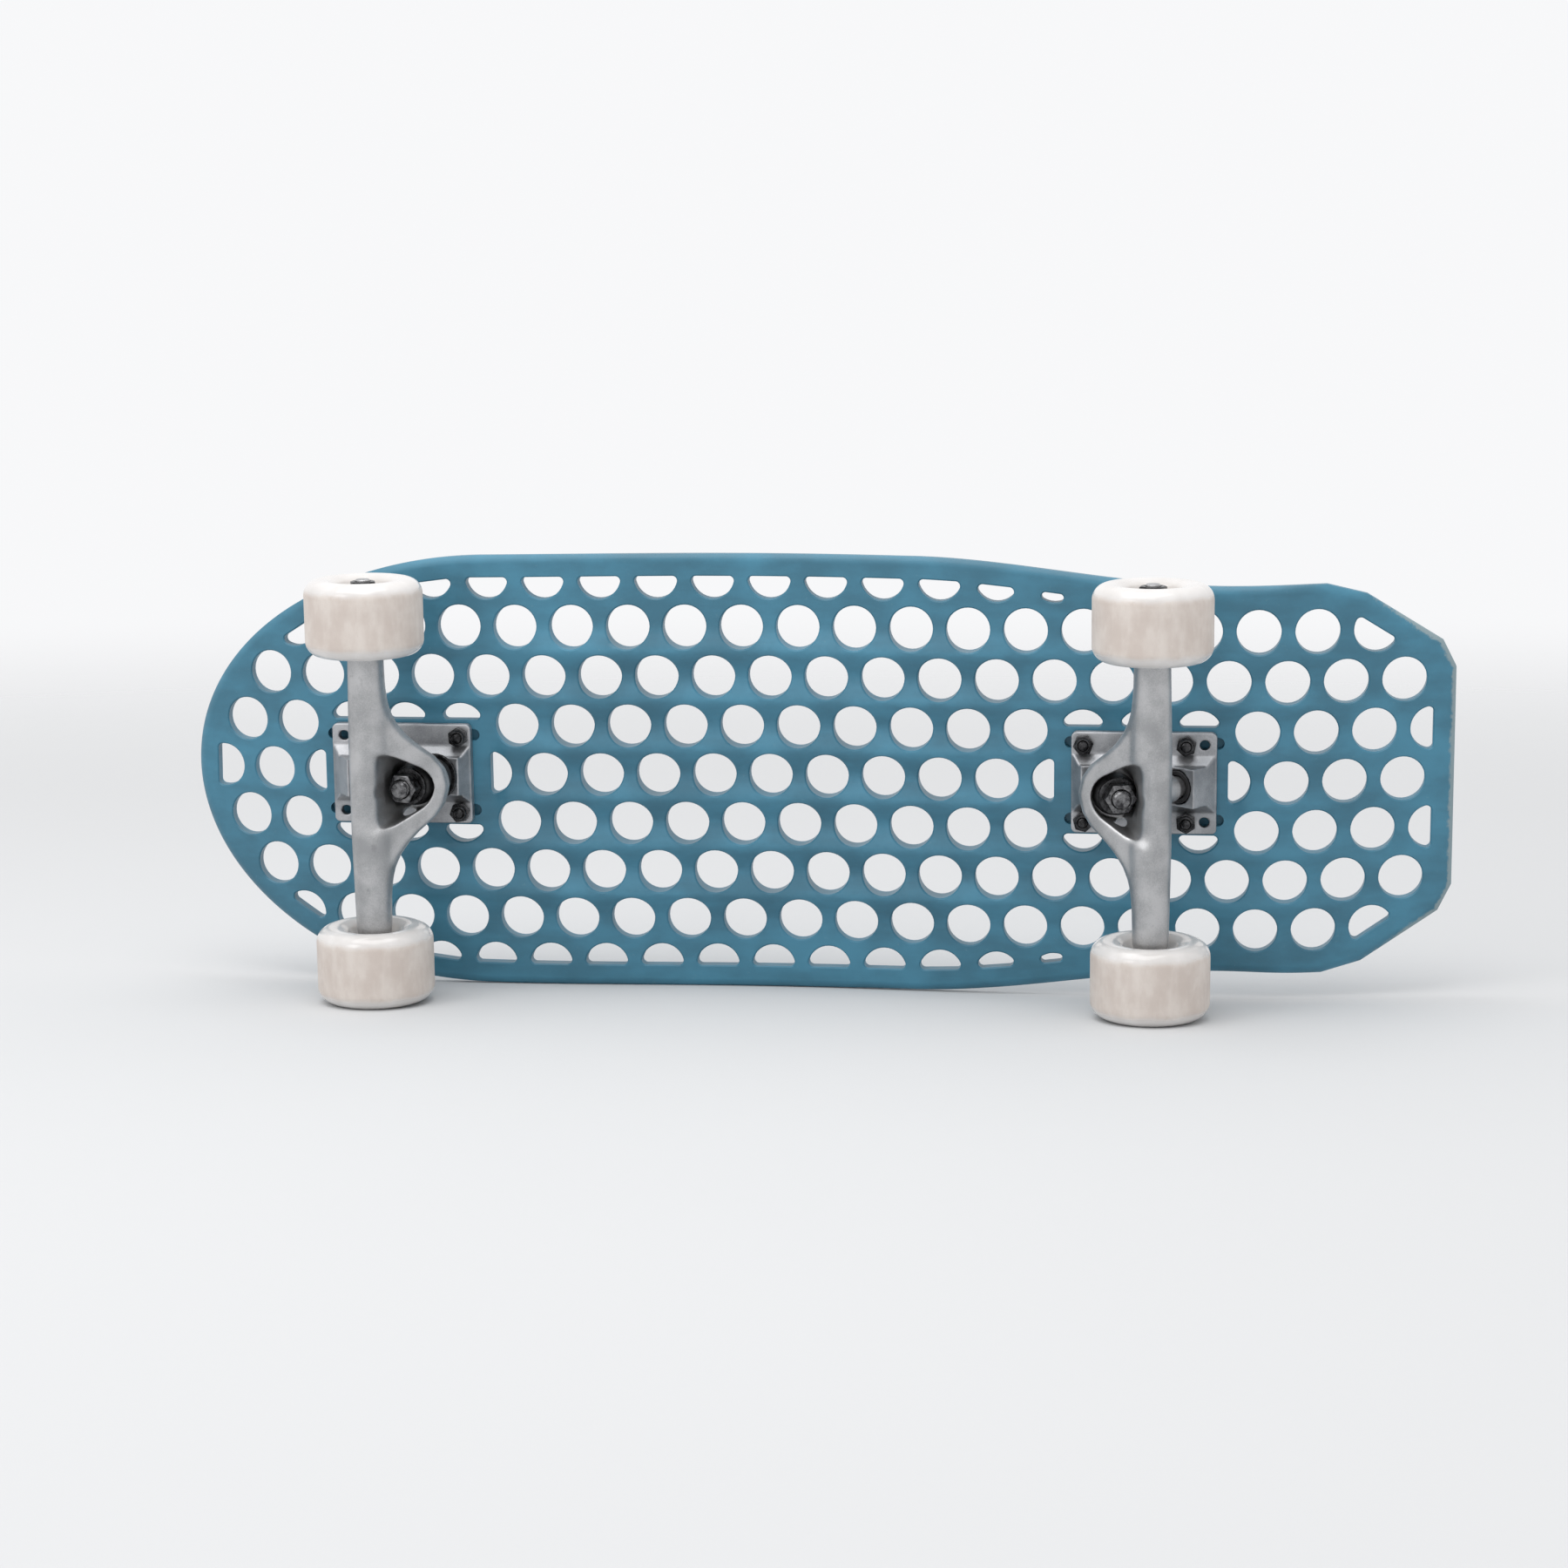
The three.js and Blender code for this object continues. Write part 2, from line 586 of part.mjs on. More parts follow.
function hangerGeometry() {
  const armEnd = wheelTrack - hubWidth / 2 - gap;
  const arm = [
    [0, -armEnd],
    [armEndRadius, -armEnd],
    [armRadius - armTaper, -armEnd + armEndLength],
    [armRadius, -armMiddle],
    [armRadius, armMiddle],
    [armRadius - armTaper, armEnd - armEndLength],
    [armEndRadius, armEnd],
    [0, armEnd],
  ];
  let body = solid(turned(arm).applyMatrix4(axleFrame));
  const back = axleX - armRadius;
  const crown = axleHeight + armRadius;
  const farTop = onKingpin(roadBushingAt + 5, yokeRadius);
  const farBottom = onKingpin(ringAt, yokeRadius + 1);
  const nearBottom = onKingpin(ringAt, -bushingRadius - 1);
  const profile = boardSide([
    [back, axleHeight - 4],
    [back + 2.5, axleHeight - heelDepth],
    [nearBottom.x - heelLength, nearBottom.z],
    [nearBottom.x, nearBottom.z],
    [farBottom.x, farBottom.z],
    [farTop.x + 1, farTop.z],
    [axleX + 8, crown - 3],
    [axleX + crownHalfWidth, crown - crownDrop],
    [axleX - crownHalfWidth, crown - crownDrop],
    [back + 2, axleHeight + 6],
    [back, axleHeight + 2],
  ]);
  const plan = yokePlan(yokeRadius, axleX + armRadius + 2, yokeHalfLength, back);
  const yoke = solid(raised(plan, 0, crown)).intersect(solid(sideways(profile, plateWidth)));
  body = body.add(yoke);
  const stem = [
    ...Array.from({ length: 5 }, (_, i) => {
      const a = (Math.PI / 2) * (-1 + i / 3.2);
      return [i === 0 ? 0 : pivotRadius * Math.cos(a), pivotRadius * Math.sin(a)];
    }),
    [pivotRadius - stemNeck, pivotCupLip + 1],
    [pivotRadius + stemFlare * 0.6, pivotCupLip + 4.5],
    [pivotRadius + stemFlare, stemReach],
    [0, stemReach],
  ];
  body = body.add(solid(turned(stem).applyMatrix4(pivotFrame)));
  const wall = axleX + axleRadius + axleCover;
  const window = yokePlan(cupRadius, wall + 4, windowHalfLength, wall);
  for (const point of window) point.x -= ringCentre.x;
  const windowOnKingpin = raised(window, 0, SAFE)
    .applyMatrix4(along(onKingpin(ringAt + ringThickness), kingpinAxis));
  const cuts = [
    windowOnKingpin,
    bore(ringHoleRadius, -SAFE, SAFE, turnedSides).applyMatrix4(along(ringCentre, kingpinAxis)),
    bore(axleRadius + boreGap, -wheelTrack, wheelTrack).applyMatrix4(axleFrame),
  ];
  for (const cut of cuts) body = body.subtract(solid(cut));
  return drawn(body);
}

const boltTop = gap + plateThickness + gap + lockNutHeight + boltProtrusion;
const boltGeometry = turned(
  [
    [0, -deckThickness],
    [boltHeadRadius, -deckThickness],
    [boltRadius, boltHeadHeight - deckThickness],
    [boltRadius, boltTop],
    [0, boltTop],
  ],
  smallSides,
);

const kingpinGeometry = turned(
  [
    [0, kingpinHeadStart],
    [kingpinHeadRadius, kingpinHeadStart],
    [kingpinHeadRadius, headEnd],
    [kingpinRadius, headEnd],
    [kingpinRadius, kingpinEnd - 1],
    [kingpinRadius - 1, kingpinEnd],
    [0, kingpinEnd],
  ],
  smallSides,
);

const washer = (radius) =>
  ring([
    [kingpinRadius + boreGap, 0],
    [radius, 0],
    [radius, washerThickness],
    [kingpinRadius + boreGap, washerThickness],
  ]);

const bushing = (height, top) =>
  ring([
    [kingpinRadius + gap, 0],
    [bushingRadius - 0.6, 0],
    [bushingRadius, height * 0.3],
    [top, height],
    [kingpinRadius + gap, height],
  ]);

const pivotCupGeometry = turned([
  [0, -pivotCupDepth],
  [cupOuter, -pivotCupDepth],
  [cupOuter, pivotCupLip],
  [cupInner, pivotCupLip],
  [cupInner, -2.5],
  [cupInner * 0.72, -5],
  [0, -pivotRadius - gap],
]);

// ---------------------------------------------------------------- wheel geometry

const hub = hubWidth / 2;
const innerBearingFace = hub - bearingWidth;

function wheelGeometry() {
  const half = wheelWidth / 2;
  const seat = bearingRadius + seatGap;
  const web = innerBearingFace - gap;
  const lip = Array.from({ length: 4 }, (_, i) => {
    const a = (Math.PI / 2) * (1 - i / 3);
    return [wheelRadius - wheelLip + wheelLip * Math.cos(a), half - wheelLip + wheelLip * Math.sin(a)];
  });
  const upper = [
    [hubBore, web],
    [seat, web],
    [seat, hub],
    [wheelFaceRadius - 4, half - wheelDish - 1],
    [wheelFaceRadius, half - wheelDish * 0.3],
    ...lip,
  ];
  const lower = upper.map(([r, h]) => [r, -h]).reverse();
  return ring([...upper, ...lower].reverse(), wheelSides);
}

const bearingGeometry = () =>
  ring([
    [axleRadius + boreGap, innerBearingFace],
    [bearingRadius, innerBearingFace],
    [bearingRadius, hub],
    [axleRadius + boreGap, hub],
  ]);

const spacerBore = clearing(axleRadius + boreGap, smallSides);
const spacerHalf = innerBearingFace - gap;
const spacerGeometry = ring(
  [
    [spacerBore, -spacerHalf],
    [spacerBore + spacerWall, -spacerHalf],
    [spacerBore + spacerWall, spacerHalf],
    [spacerBore, spacerHalf],
  ],
  smallSides,
);

const axleNutAt = wheelTrack + hub + gap;
const axleEnd = axleNutAt + axleNutHeight + axleProtrusion;

// ---------------------------------------------------------------- assembly

function addTruck({ name, matrix }) {
  const truck = new THREE.Group();
  truck.applyMatrix4(matrix);
  board.add(truck);
  const add = (part, geometry, finishName, place) =>
    addNode(truck, `${name}_${part}`, geometry, finishName, place);
  const onPin = (s) => along(onKingpin(s), kingpinAxis);

  add("baseplate", baseplateGeometry(), "castAluminium");
  add("pivot_cup", pivotCupGeometry, "blackUrethane", pivotFrame);
  add("kingpin", kingpinGeometry, "steel", kingpinFrame);
  add("washer_board_side", washer(boardWasherRadius), "blackSteel", onPin(boardWasherAt));
  const boardBushing = bushing(boardBushingHeight, bushingRadius);
  add("bushing_board_side", boardBushing, "blackUrethane", onPin(boardBushingAt));
  add("hanger", hangerGeometry(), "castAluminium");
  const roadBushing = bushing(roadBushingHeight, bushingTopRadius);
  add("bushing_road_side", roadBushing, "blackUrethane", onPin(roadBushingAt));
  add("washer_road_side", washer(roadWasherRadius), "blackSteel", onPin(roadWasherAt));
  const kingpinNut = hexNut(kingpinNutWidth, kingpinNutHeight, kingpinRadius + boreGap);
  add("kingpin_nut", kingpinNut, "steel", onPin(kingpinNutAt));
  add("axle", rod(axleRadius, -axleEnd, axleEnd), "steel", axleFrame);

  boltPlaces.forEach((place, i) => {
    const at = new THREE.Matrix4().setPosition(place);
    const nutAt = new THREE.Matrix4().setPosition(place.x, place.y, gap + plateThickness + gap);
    add(`bolt_${i + 1}`, boltGeometry, "blackSteel", at);
    const lockNut = hexNut(lockNutWidth, lockNutHeight, boltRadius + boreGap);
    add(`lock_nut_${i + 1}`, lockNut, "blackSteel", nutAt);
  });

  // Seen with the board on its edge, one wheel of each truck is above the other.
  const acrossSign = matrix.elements[5];
  for (const [end, sign] of [["upper", acrossSign], ["lower", -acrossSign]]) {
    const away = v3(0, sign, 0);
    const hubFrame = along(v3(axleX, sign * wheelTrack, axleHeight), away);
    const inward = hubFrame.clone().multiply(new THREE.Matrix4().makeRotationX(Math.PI));
    add(`${end}_wheel`, wheelGeometry(), "urethane", hubFrame);
    add(`${end}_bearing_outer`, bearingGeometry(), "steel", hubFrame);
    add(`${end}_bearing_inner`, bearingGeometry(), "steel", inward);
    add(`${end}_bearing_spacer`, spacerGeometry, "steel", hubFrame);
    const nutFrame = along(v3(axleX, sign * axleNutAt, axleHeight), away);
    const axleNut = hexNut(axleNutWidth, axleNutHeight, axleRadius + boreGap);
    add(`${end}_axle_nut`, axleNut, "blackSteel", nutFrame);
  }
}

truckFrames.forEach(addTruck);

// ---------------------------------------------------------------- standing on its edge

// The board leans until the deck's lower edge and the lower wheels touch the floor together.
function lowest(names, angle) {
  const turn = new THREE.Matrix4().makeRotationX(angle);
  let low = Infinity;
  board.updateMatrixWorld(true);
  board.traverse((part) => {
    if (!part.isMesh || !names(part.name)) return;
    const matrix = turn.clone().multiply(part.matrixWorld);
    const position = part.geometry.attributes.position;
    const point = v3(0, 0, 0);
    for (let i = 0; i < position.count; i++)
      low = Math.min(low, point.fromBufferAttribute(position, i).applyMatrix4(matrix).z);
  });
  return low;
}

function restingAngle() {
  let least = Math.PI / 2 - radians(10);
  let most = Math.PI / 2 + radians(20);
  for (let i = 0; i < 24; i++) {
    const angle = (least + most) / 2;
    const deckLow = lowest((name) => name === "deck", angle);
    const wheelLow = lowest((name) => name.endsWith("lower_wheel"), angle);
    if (deckLow < wheelLow) least = angle;
    else most = angle;
  }
  return (least + most) / 2;
}

board.rotation.x = restingAngle();
board.updateMatrixWorld(true);
const space = new THREE.Box3().setFromObject(board, true);
const centre = space.getCenter(v3(0, 0, 0));
board.position.set(-centre.x, -centre.y, -space.min.z);

const skateboard = new THREE.Group();
skateboard.add(board);

export default skateboard;
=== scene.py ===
# %% [markdown]
# # A perforated skateboard, standing on its edge
#
# The board is one moulded plastic deck with rows of round holes, and two cast trucks that carry
# four urethane wheels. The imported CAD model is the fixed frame: it gives every place and size.
# This lesson builds the finished looks around it, one kind of piece at a time.

import json
import math

import bpy
import numpy as np
from mathutils import Matrix, Vector
from mathutils.geometry import delaunay_2d_cdt


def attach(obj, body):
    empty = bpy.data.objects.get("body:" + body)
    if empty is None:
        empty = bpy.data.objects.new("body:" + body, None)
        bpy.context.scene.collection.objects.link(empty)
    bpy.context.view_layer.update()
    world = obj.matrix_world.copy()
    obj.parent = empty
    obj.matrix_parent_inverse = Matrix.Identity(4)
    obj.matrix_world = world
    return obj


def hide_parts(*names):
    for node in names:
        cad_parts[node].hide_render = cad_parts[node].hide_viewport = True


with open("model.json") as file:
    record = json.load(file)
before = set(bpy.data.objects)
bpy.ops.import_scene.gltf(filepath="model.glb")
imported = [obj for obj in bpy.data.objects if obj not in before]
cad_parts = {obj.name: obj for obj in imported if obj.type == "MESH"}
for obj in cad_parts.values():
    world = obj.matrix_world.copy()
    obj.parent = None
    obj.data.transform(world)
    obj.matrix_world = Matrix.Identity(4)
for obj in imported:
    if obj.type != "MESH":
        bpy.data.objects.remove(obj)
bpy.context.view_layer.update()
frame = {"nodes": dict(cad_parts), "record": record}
nodes = frame["nodes"]
MM = 0.001

# %% [markdown]
# ## Two working frames
#
# The deck is easiest to draw lying flat, so it has a board frame: x from nose to tail, y across,
# z out of the underside, with z = 0 on the faces the trucks are bolted to. Each truck has a frame
# of its own at the middle of its baseplate. The two riding-face mounts in the record lie over the
# truck pads, so they give the board frame with no fitting.

# %% Board and truck frames
THICKNESS = 8.0
PLATE_OFFSET = 1.8  # from a pad's middle to its baseplate's middle
mounts = {m["name"]: m for m in frame["record"]["mounts"]}
nose_pad, tail_pad = (Vector(mounts[f"riding_face_{end}"]["pos_m"]) for end in ("nose", "tail"))
down = -Vector(mounts["riding_face_nose"]["axis"])
across = down.cross(Vector((1, 0, 0)))
BOARD = Matrix((Vector((1, 0, 0)), across, down)).transposed().to_4x4()
BOARD.translation = (nose_pad + tail_pad) / 2 + down * THICKNESS * MM
PAD_X = (tail_pad - nose_pad).length / 2 / MM
PLATE_X = PAD_X + PLATE_OFFSET
turned_round = Matrix.Rotation(math.pi, 4, "Z")
TRUCKS = {
    "nose": BOARD @ Matrix.Translation((-PLATE_X * MM, 0, 0)),
    "tail": BOARD @ Matrix.Translation((PLATE_X * MM, 0, 0)) @ turned_round,
}
print("pads", round(PAD_X, 2), "mm from the middle; lean", round(math.degrees(math.asin(down.z)), 2))


# %% [markdown]
# ## Small hand tools
#
# Each tool below does what a hand does in the viewport: deselect everything, work in edit mode,
# apply a modifier, place the finished piece. Operators act on whatever is selected, so every tool
# starts from a clean selection.

# %% Selection, edit mode and modifiers
def only(piece):
    """Selects one object and nothing else."""
    if bpy.context.object and bpy.context.object.mode != "OBJECT":
        bpy.ops.object.mode_set(mode="OBJECT")
    bpy.ops.object.select_all(action="DESELECT")
    bpy.context.view_layer.objects.active = piece
    piece.select_set(True)


def edit(piece):
    only(piece)
    bpy.ops.object.mode_set(mode="EDIT")
    bpy.ops.mesh.select_all(action="SELECT")


def done():
    bpy.ops.object.mode_set(mode="OBJECT")


def modify(piece, kind, **settings):
    """Adds a modifier, sets it and applies it."""
    only(piece)
    modifier = piece.modifiers.new(kind.title(), kind)
    for name, value in settings.items():
        setattr(modifier, name, value)
    bpy.ops.object.modifier_apply(modifier=modifier.name)


def start(make, **settings):
    """A primitive at its size and place, alone in the selection."""
    if bpy.context.object and bpy.context.object.mode != "OBJECT":
        bpy.ops.object.mode_set(mode="OBJECT")
    bpy.ops.object.select_all(action="DESELECT")
    make(**settings)
    return bpy.context.object


# %% Turning a profile, as on a lathe
def turned(profile, steps=64, closed=False, bevel=0.0, segments=2):
    """A [radius, height] profile in mm, spun round z. A closed profile makes a ring."""
    piece = start(bpy.ops.mesh.primitive_plane_add, size=MM)
    edit(piece)
    bpy.ops.mesh.merge(type="CENTER")
    last = Vector((0, 0, 0))
    for index, (radius, height) in enumerate(list(profile) + ([profile[0]] if closed else [])):
        point = Vector((radius * MM, 0, height * MM))
        if index == 0:
            bpy.ops.transform.translate(value=point)
        else:
            bpy.ops.mesh.extrude_region_move(TRANSFORM_OT_translate={"value": point - last})
        last = point
    bpy.ops.mesh.select_all(action="SELECT")
    bpy.ops.mesh.spin(steps=steps, angle=2 * math.pi, center=(0, 0, 0), axis=(0, 0, 1))
    bpy.ops.mesh.select_all(action="SELECT")
    bpy.ops.mesh.remove_doubles(threshold=1e-6)
    bpy.ops.mesh.normals_make_consistent(inside=False)
    done()
    if bevel:
        modify(piece, "BEVEL", width=bevel * MM, segments=segments, angle_limit=math.radians(28),
               use_clamp_overlap=True, harden_normals=False)
    return piece


def copy_of(piece):
    """A copy with a mesh of its own."""
    twin = piece.copy()
    twin.data = piece.data.copy()
    bpy.context.scene.collection.objects.link(twin)
    return twin


def mark_place(piece):
    """Keeps each point's place in the piece's own frame, for patterns that follow its surface."""
    mesh = piece.data
    own = np.empty(len(mesh.vertices) * 3, np.float32)
    mesh.vertices.foreach_get("co", own)
    mesh.attributes.new("own_place", "FLOAT_VECTOR", "POINT").data.foreach_set("vector", own)


def place(piece, matrix):
    """Moves a piece to its place and leaves the place in its mesh."""
    only(piece)
    piece.matrix_world = matrix
    bpy.ops.object.transform_apply(location=True, rotation=True, scale=True)
    return piece


def onto(point, direction, turn=0.0):
    """The matrix that carries z onto a direction and the origin onto a point in mm."""
    matrix = Vector(direction).to_track_quat("Z", "Y").to_matrix().to_4x4()
    matrix.translation = Vector(point) * MM
    return matrix @ Matrix.Rotation(turn, 4, "Z")


def finish_piece(piece, name, body, slot, material, stands_for, angle=35):
    """Names a finished piece, shades it, says what it rides on and hides the CAD parts it stands for."""
    only(piece)
    piece.name = name
    piece.data.name = name
    bpy.ops.object.shade_smooth_by_angle(angle=math.radians(angle))
    piece.data.materials.clear()
    piece.data.materials.append(material)
    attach(piece, body)
    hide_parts(*stands_for)


# %% [markdown]
# ## Writing shaders as sums
#
# A material is a net of nodes, and most of them are arithmetic. One small class wraps a socket so
# that an expression such as 1 - mask * 0.4 adds the Math nodes for itself. Colours are mixed with
# Mix nodes and vectors with Vector Math, because a Math node would turn a colour grey.

# %% The socket class
class Link:
    def __init__(self, tree, socket):
        self.tree, self.socket = tree, socket

    def _math(self, operation, *values, clamp=False):
        settings = {"operation": operation, "use_clamp": clamp}
        return add_node(self.tree, "ShaderNodeMath", settings, list(values))

    def __add__(self, other):
        return self._math("ADD", self, other)

    def __sub__(self, other):
        return self._math("SUBTRACT", self, other)

    def __rsub__(self, other):
        return self._math("SUBTRACT", other, self)

    def __mul__(self, other):
        return self._math("MULTIPLY", self, other)

    def clamped(self):
        return self._math("ADD", self, 0.0, clamp=True)

    __radd__ = __add__
    __rmul__ = __mul__


def add_node(tree, kind, settings=None, inputs=None, output=0):
    """One node: its settings first, then the values or links of its sockets, as a list or by name."""
    node = tree.nodes.new(kind)
    for name, value in (settings or {}).items():
        setattr(node, name, value)
    items = inputs.items() if isinstance(inputs, dict) else enumerate(inputs or [])
    for key, value in items:
        if isinstance(value, Link):
            tree.links.new(value.socket, node.inputs[key])
        else:
            node.inputs[key].default_value = value
    return Link(tree, node.outputs[output])


class Finish:
    """One material under construction: its node tree, its shader and the patterns it uses."""

    def __init__(self, name, **constants):
        self.material = bpy.data.materials.new(name)
        self.material.use_nodes = True
        self.tree = self.material.node_tree
        self.shader = self.tree.nodes["Principled BSDF"]
        for socket, value in constants.items():
            self.shader.inputs[socket.replace("_", " ")].default_value = value
        self.object = add_node(self.tree, "ShaderNodeTexCoord", output="Object")

    def attribute(self, name):
        return add_node(self.tree, "ShaderNodeAttribute", {"attribute_name": name}, output="Vector")

    def stretched(self, vector, scale):
        return add_node(self.tree, "ShaderNodeMapping", None, {"Vector": vector, "Scale": scale})

    def noise(self, size, detail=4.0, vector=None, roughness=0.55):
        """Noise about 0.5 whose blotches are size metres across."""
        return add_node(self.tree, "ShaderNodeTexNoise", None, {
            "Vector": vector or self.object, "Scale": 1 / size, "Detail": detail, "Roughness": roughness,
        }, output="Fac")

    def between(self, value, low, high, to_low=0.0, to_high=1.0):
        """Maps a value from one range to another with smooth ends, held at them."""
        return add_node(self.tree, "ShaderNodeMapRange", {"interpolation_type": "SMOOTHSTEP"},
                        [value, low, high, to_low, to_high])

    def split(self, vector):
        node = self.tree.nodes.new("ShaderNodeSeparateXYZ")
        self.tree.links.new(vector.socket, node.inputs[0])
        return [Link(self.tree, out) for out in node.outputs]

    def length(self, vector):
        settings = {"operation": "LENGTH"}
        return add_node(self.tree, "ShaderNodeVectorMath", settings, [vector], output="Value")

    def mix(self, factor, a, b):
        def named(value):
            return value if isinstance(value, Link) else (*value, 1.0)
        return add_node(self.tree, "ShaderNodeMix", {"data_type": "RGBA"},
                        {0: factor, 6: named(a), 7: named(b)}, output=2)

    def bump(self, height, distance, strength=1.0):
        return add_node(self.tree, "ShaderNodeBump", None,
                        {"Strength": strength, "Distance": distance, "Height": height}, output="Normal")

    def feed(self, **sockets):
        for name, value in sockets.items():
            self.tree.links.new(value.socket, self.shader.inputs[name.replace("_", " ")])
        return self.material


print("shader tools ready")

# %% [markdown]
# ## Finishes
#
# The deck is dyed plastic straight from the mould: one blue all through, faintly cloudy, with
# scuffs where the tail has dragged. Its patterns read Object coordinates, so they are fixed in the
# plastic and don't follow the camera.

# %% Deck plastic
PLASTIC = (0.045, 0.174, 0.256)


def deck_plastic():
    f = Finish("deck_plastic", Roughness=0.45, IOR=1.49)
    clouds = f.noise(0.05, detail=6)
    flow = f.noise(0.012, detail=3, vector=f.stretched(f.object, (0.3, 1.0, 1.0)))
    grain = f.noise(0.0009, detail=2)
    specks = f.between(f.noise(0.0022, detail=5, roughness=0.7), 0.62, 0.72)
    dark, light = (0.8 * c for c in PLASTIC), (1.22 * c for c in PLASTIC)
    colour = f.mix(f.between(clouds * 0.6 + flow * 0.4, 0.36, 0.66), tuple(dark), tuple(light))
    colour = f.mix(specks * 0.3, colour, (0.13, 0.25, 0.30))
    edge = add_node(f.tree, "ShaderNodeAttribute", {"attribute_name": "edge_wear"}, output="Fac")
    rubbed = f.between(f.noise(0.0035, detail=7, roughness=0.75) + edge * 0.55, 0.7, 0.96)
    colour = f.mix(rubbed * 0.8, colour, (0.27, 0.33, 0.34))
    rough = f.between(clouds, 0.3, 0.7, 0.36, 0.5) + rubbed * 0.25
    height = grain * 0.25 + f.noise(0.006, detail=4) * 0.5 - rubbed * 0.4
    return f.feed(Base_Color=colour, Roughness=rough, Normal=f.bump(height, 0.00025, 0.5))


# %% [markdown]
# Cast aluminium is a skin of tiny dents that each catch the light. Cut steel is smoother, and
# the black hardware has a thin dark oxide, mottled lighter in patches.

# %% Metals
def cast_aluminium(name, dark, light, smoothest, roughest):
    f = Finish(name, Metallic=0.95)
    sand = f.noise(0.0007, detail=3, roughness=0.7)
    lumps = f.noise(0.005, detail=4)
    patches = f.noise(0.02, detail=5)
    colour = f.mix(f.between(sand * 0.35 + patches * 0.65, 0.36, 0.64), dark, light)
    pits = f.between(f.noise(0.0016, detail=4, roughness=0.8), 0.66, 0.74)
    stains = f.between(f.noise(0.009, detail=7, roughness=0.7), 0.6, 0.72)
    colour = f.mix((pits * 0.55 + stains * 0.3).clamped(), colour, (0.2, 0.2, 0.205))
    height = sand * 0.35 + lumps * 0.8 - pits * 0.5
    return f.feed(Base_Color=colour, Roughness=f.between(sand, 0.3, 0.7, smoothest, roughest),
                  Normal=f.bump(height, 0.00022, 0.5))


def metal(name, dark, light, rough, fine=0.0012, metallic=1.0, bump=0.3):
    f = Finish(name, Metallic=metallic)
    film = f.noise(0.004, detail=5, roughness=0.7)
    fine_marks = f.noise(fine, detail=3, roughness=0.7)
    colour = f.mix(f.between(film * 0.6 + fine_marks * 0.4, 0.38, 0.64), dark, light)
    return f.feed(Base_Color=colour, Roughness=f.between(film, 0.3, 0.7, rough - 0.08, rough + 0.1),
                  Normal=f.bump(fine_marks, 0.00008, bump))


# %% [markdown]
# ## Rubbers and urethane
#
# The bushings are black urethane. The wheels are off-white urethane: glossy and clean on the
# rounded lips and side faces, dull and dirty on the tread, where the marks run across it. Those
# marks follow each wheel, so they read the wheel's own place, kept as an attribute on its mesh.

# %% Urethanes
WHEEL_RADIUS = 31.0


def black_urethane():
    f = Finish("black_urethane_finish", IOR=1.5)
    dust = f.noise(0.003, detail=5, roughness=0.7)
    colour = f.mix(f.between(dust, 0.5, 0.75), (0.012, 0.012, 0.013), (0.045, 0.045, 0.046))
    return f.feed(Base_Color=colour, Roughness=f.between(dust, 0.3, 0.7, 0.42, 0.62),
                  Normal=f.bump(f.noise(0.0008), 0.00005, 0.3))


def wheel_urethane():
    f = Finish("wheel_urethane", IOR=1.5)
    own = f.attribute("own_place")
    x, y, z = f.split(own)
    radius = f.length(add_node(f.tree, "ShaderNodeCombineXYZ", None, [x, y, 0.0]))
    height = add_node(f.tree, "ShaderNodeMath", {"operation": "ABSOLUTE"}, [z])
    wander = (f.noise(0.01, detail=4, vector=own) - 0.5) * 0.004
    tread = f.between(radius, (WHEEL_RADIUS - 2.2) * MM, (WHEEL_RADIUS - 0.3) * MM)
    tread = tread * (1 - f.between(height + wander, 0.0125, 0.0165))
    streaks = f.noise(0.008, detail=4, roughness=0.6, vector=f.stretched(own, (1.0, 1.0, 0.35)))
    smears = f.noise(0.016, detail=6, roughness=0.6, vector=own)
    drawn_out = f.stretched(own, (1.6, 1.6, 0.4))
    scratches = f.between(f.noise(0.004, detail=6, roughness=0.75, vector=drawn_out), 0.6, 0.74)
    specks = f.between(f.noise(0.0013, detail=4, roughness=0.7, vector=own), 0.66, 0.75)
    patches = f.between(f.noise(0.006, detail=6, roughness=0.7, vector=own), 0.5, 0.66)
    edges = f.between(height, 0.0115, 0.0145) * patches
    marks = (specks * 0.8 + scratches * 0.4 + edges * 0.5).clamped()
    clean = f.mix(f.between(smears, 0.3, 0.75), (0.62, 0.595, 0.575), (0.70, 0.68, 0.665))
    grime = f.between(streaks * 0.45 + smears * 0.55, 0.36, 0.66)
    dirty = f.mix(grime, (0.56, 0.485, 0.435), (0.67, 0.61, 0.56))
    dirty = f.mix(marks * 0.6, dirty, (0.40, 0.32, 0.26))
    soiled = (tread * (0.85 + 0.25 * smears)).clamped()
    # Towards the hub, inside about 13.5 to 18 mm, the urethane turns darker and browner.
    inner = 1 - f.between(radius, 0.0135, 0.018)
    colour = f.mix(soiled, clean, dirty)
    colour = f.mix(inner * 0.35, colour, (0.45, 0.40, 0.35))
    rough = f.between(soiled, 0.0, 1.0, 0.2, 0.55)
    bump = f.bump(streaks * 0.5 + marks * 0.3, 0.0002, 0.5)
    return f.feed(Base_Color=colour, Roughness=rough, Normal=bump, Coat_Weight=(1 - soiled) * 0.35)


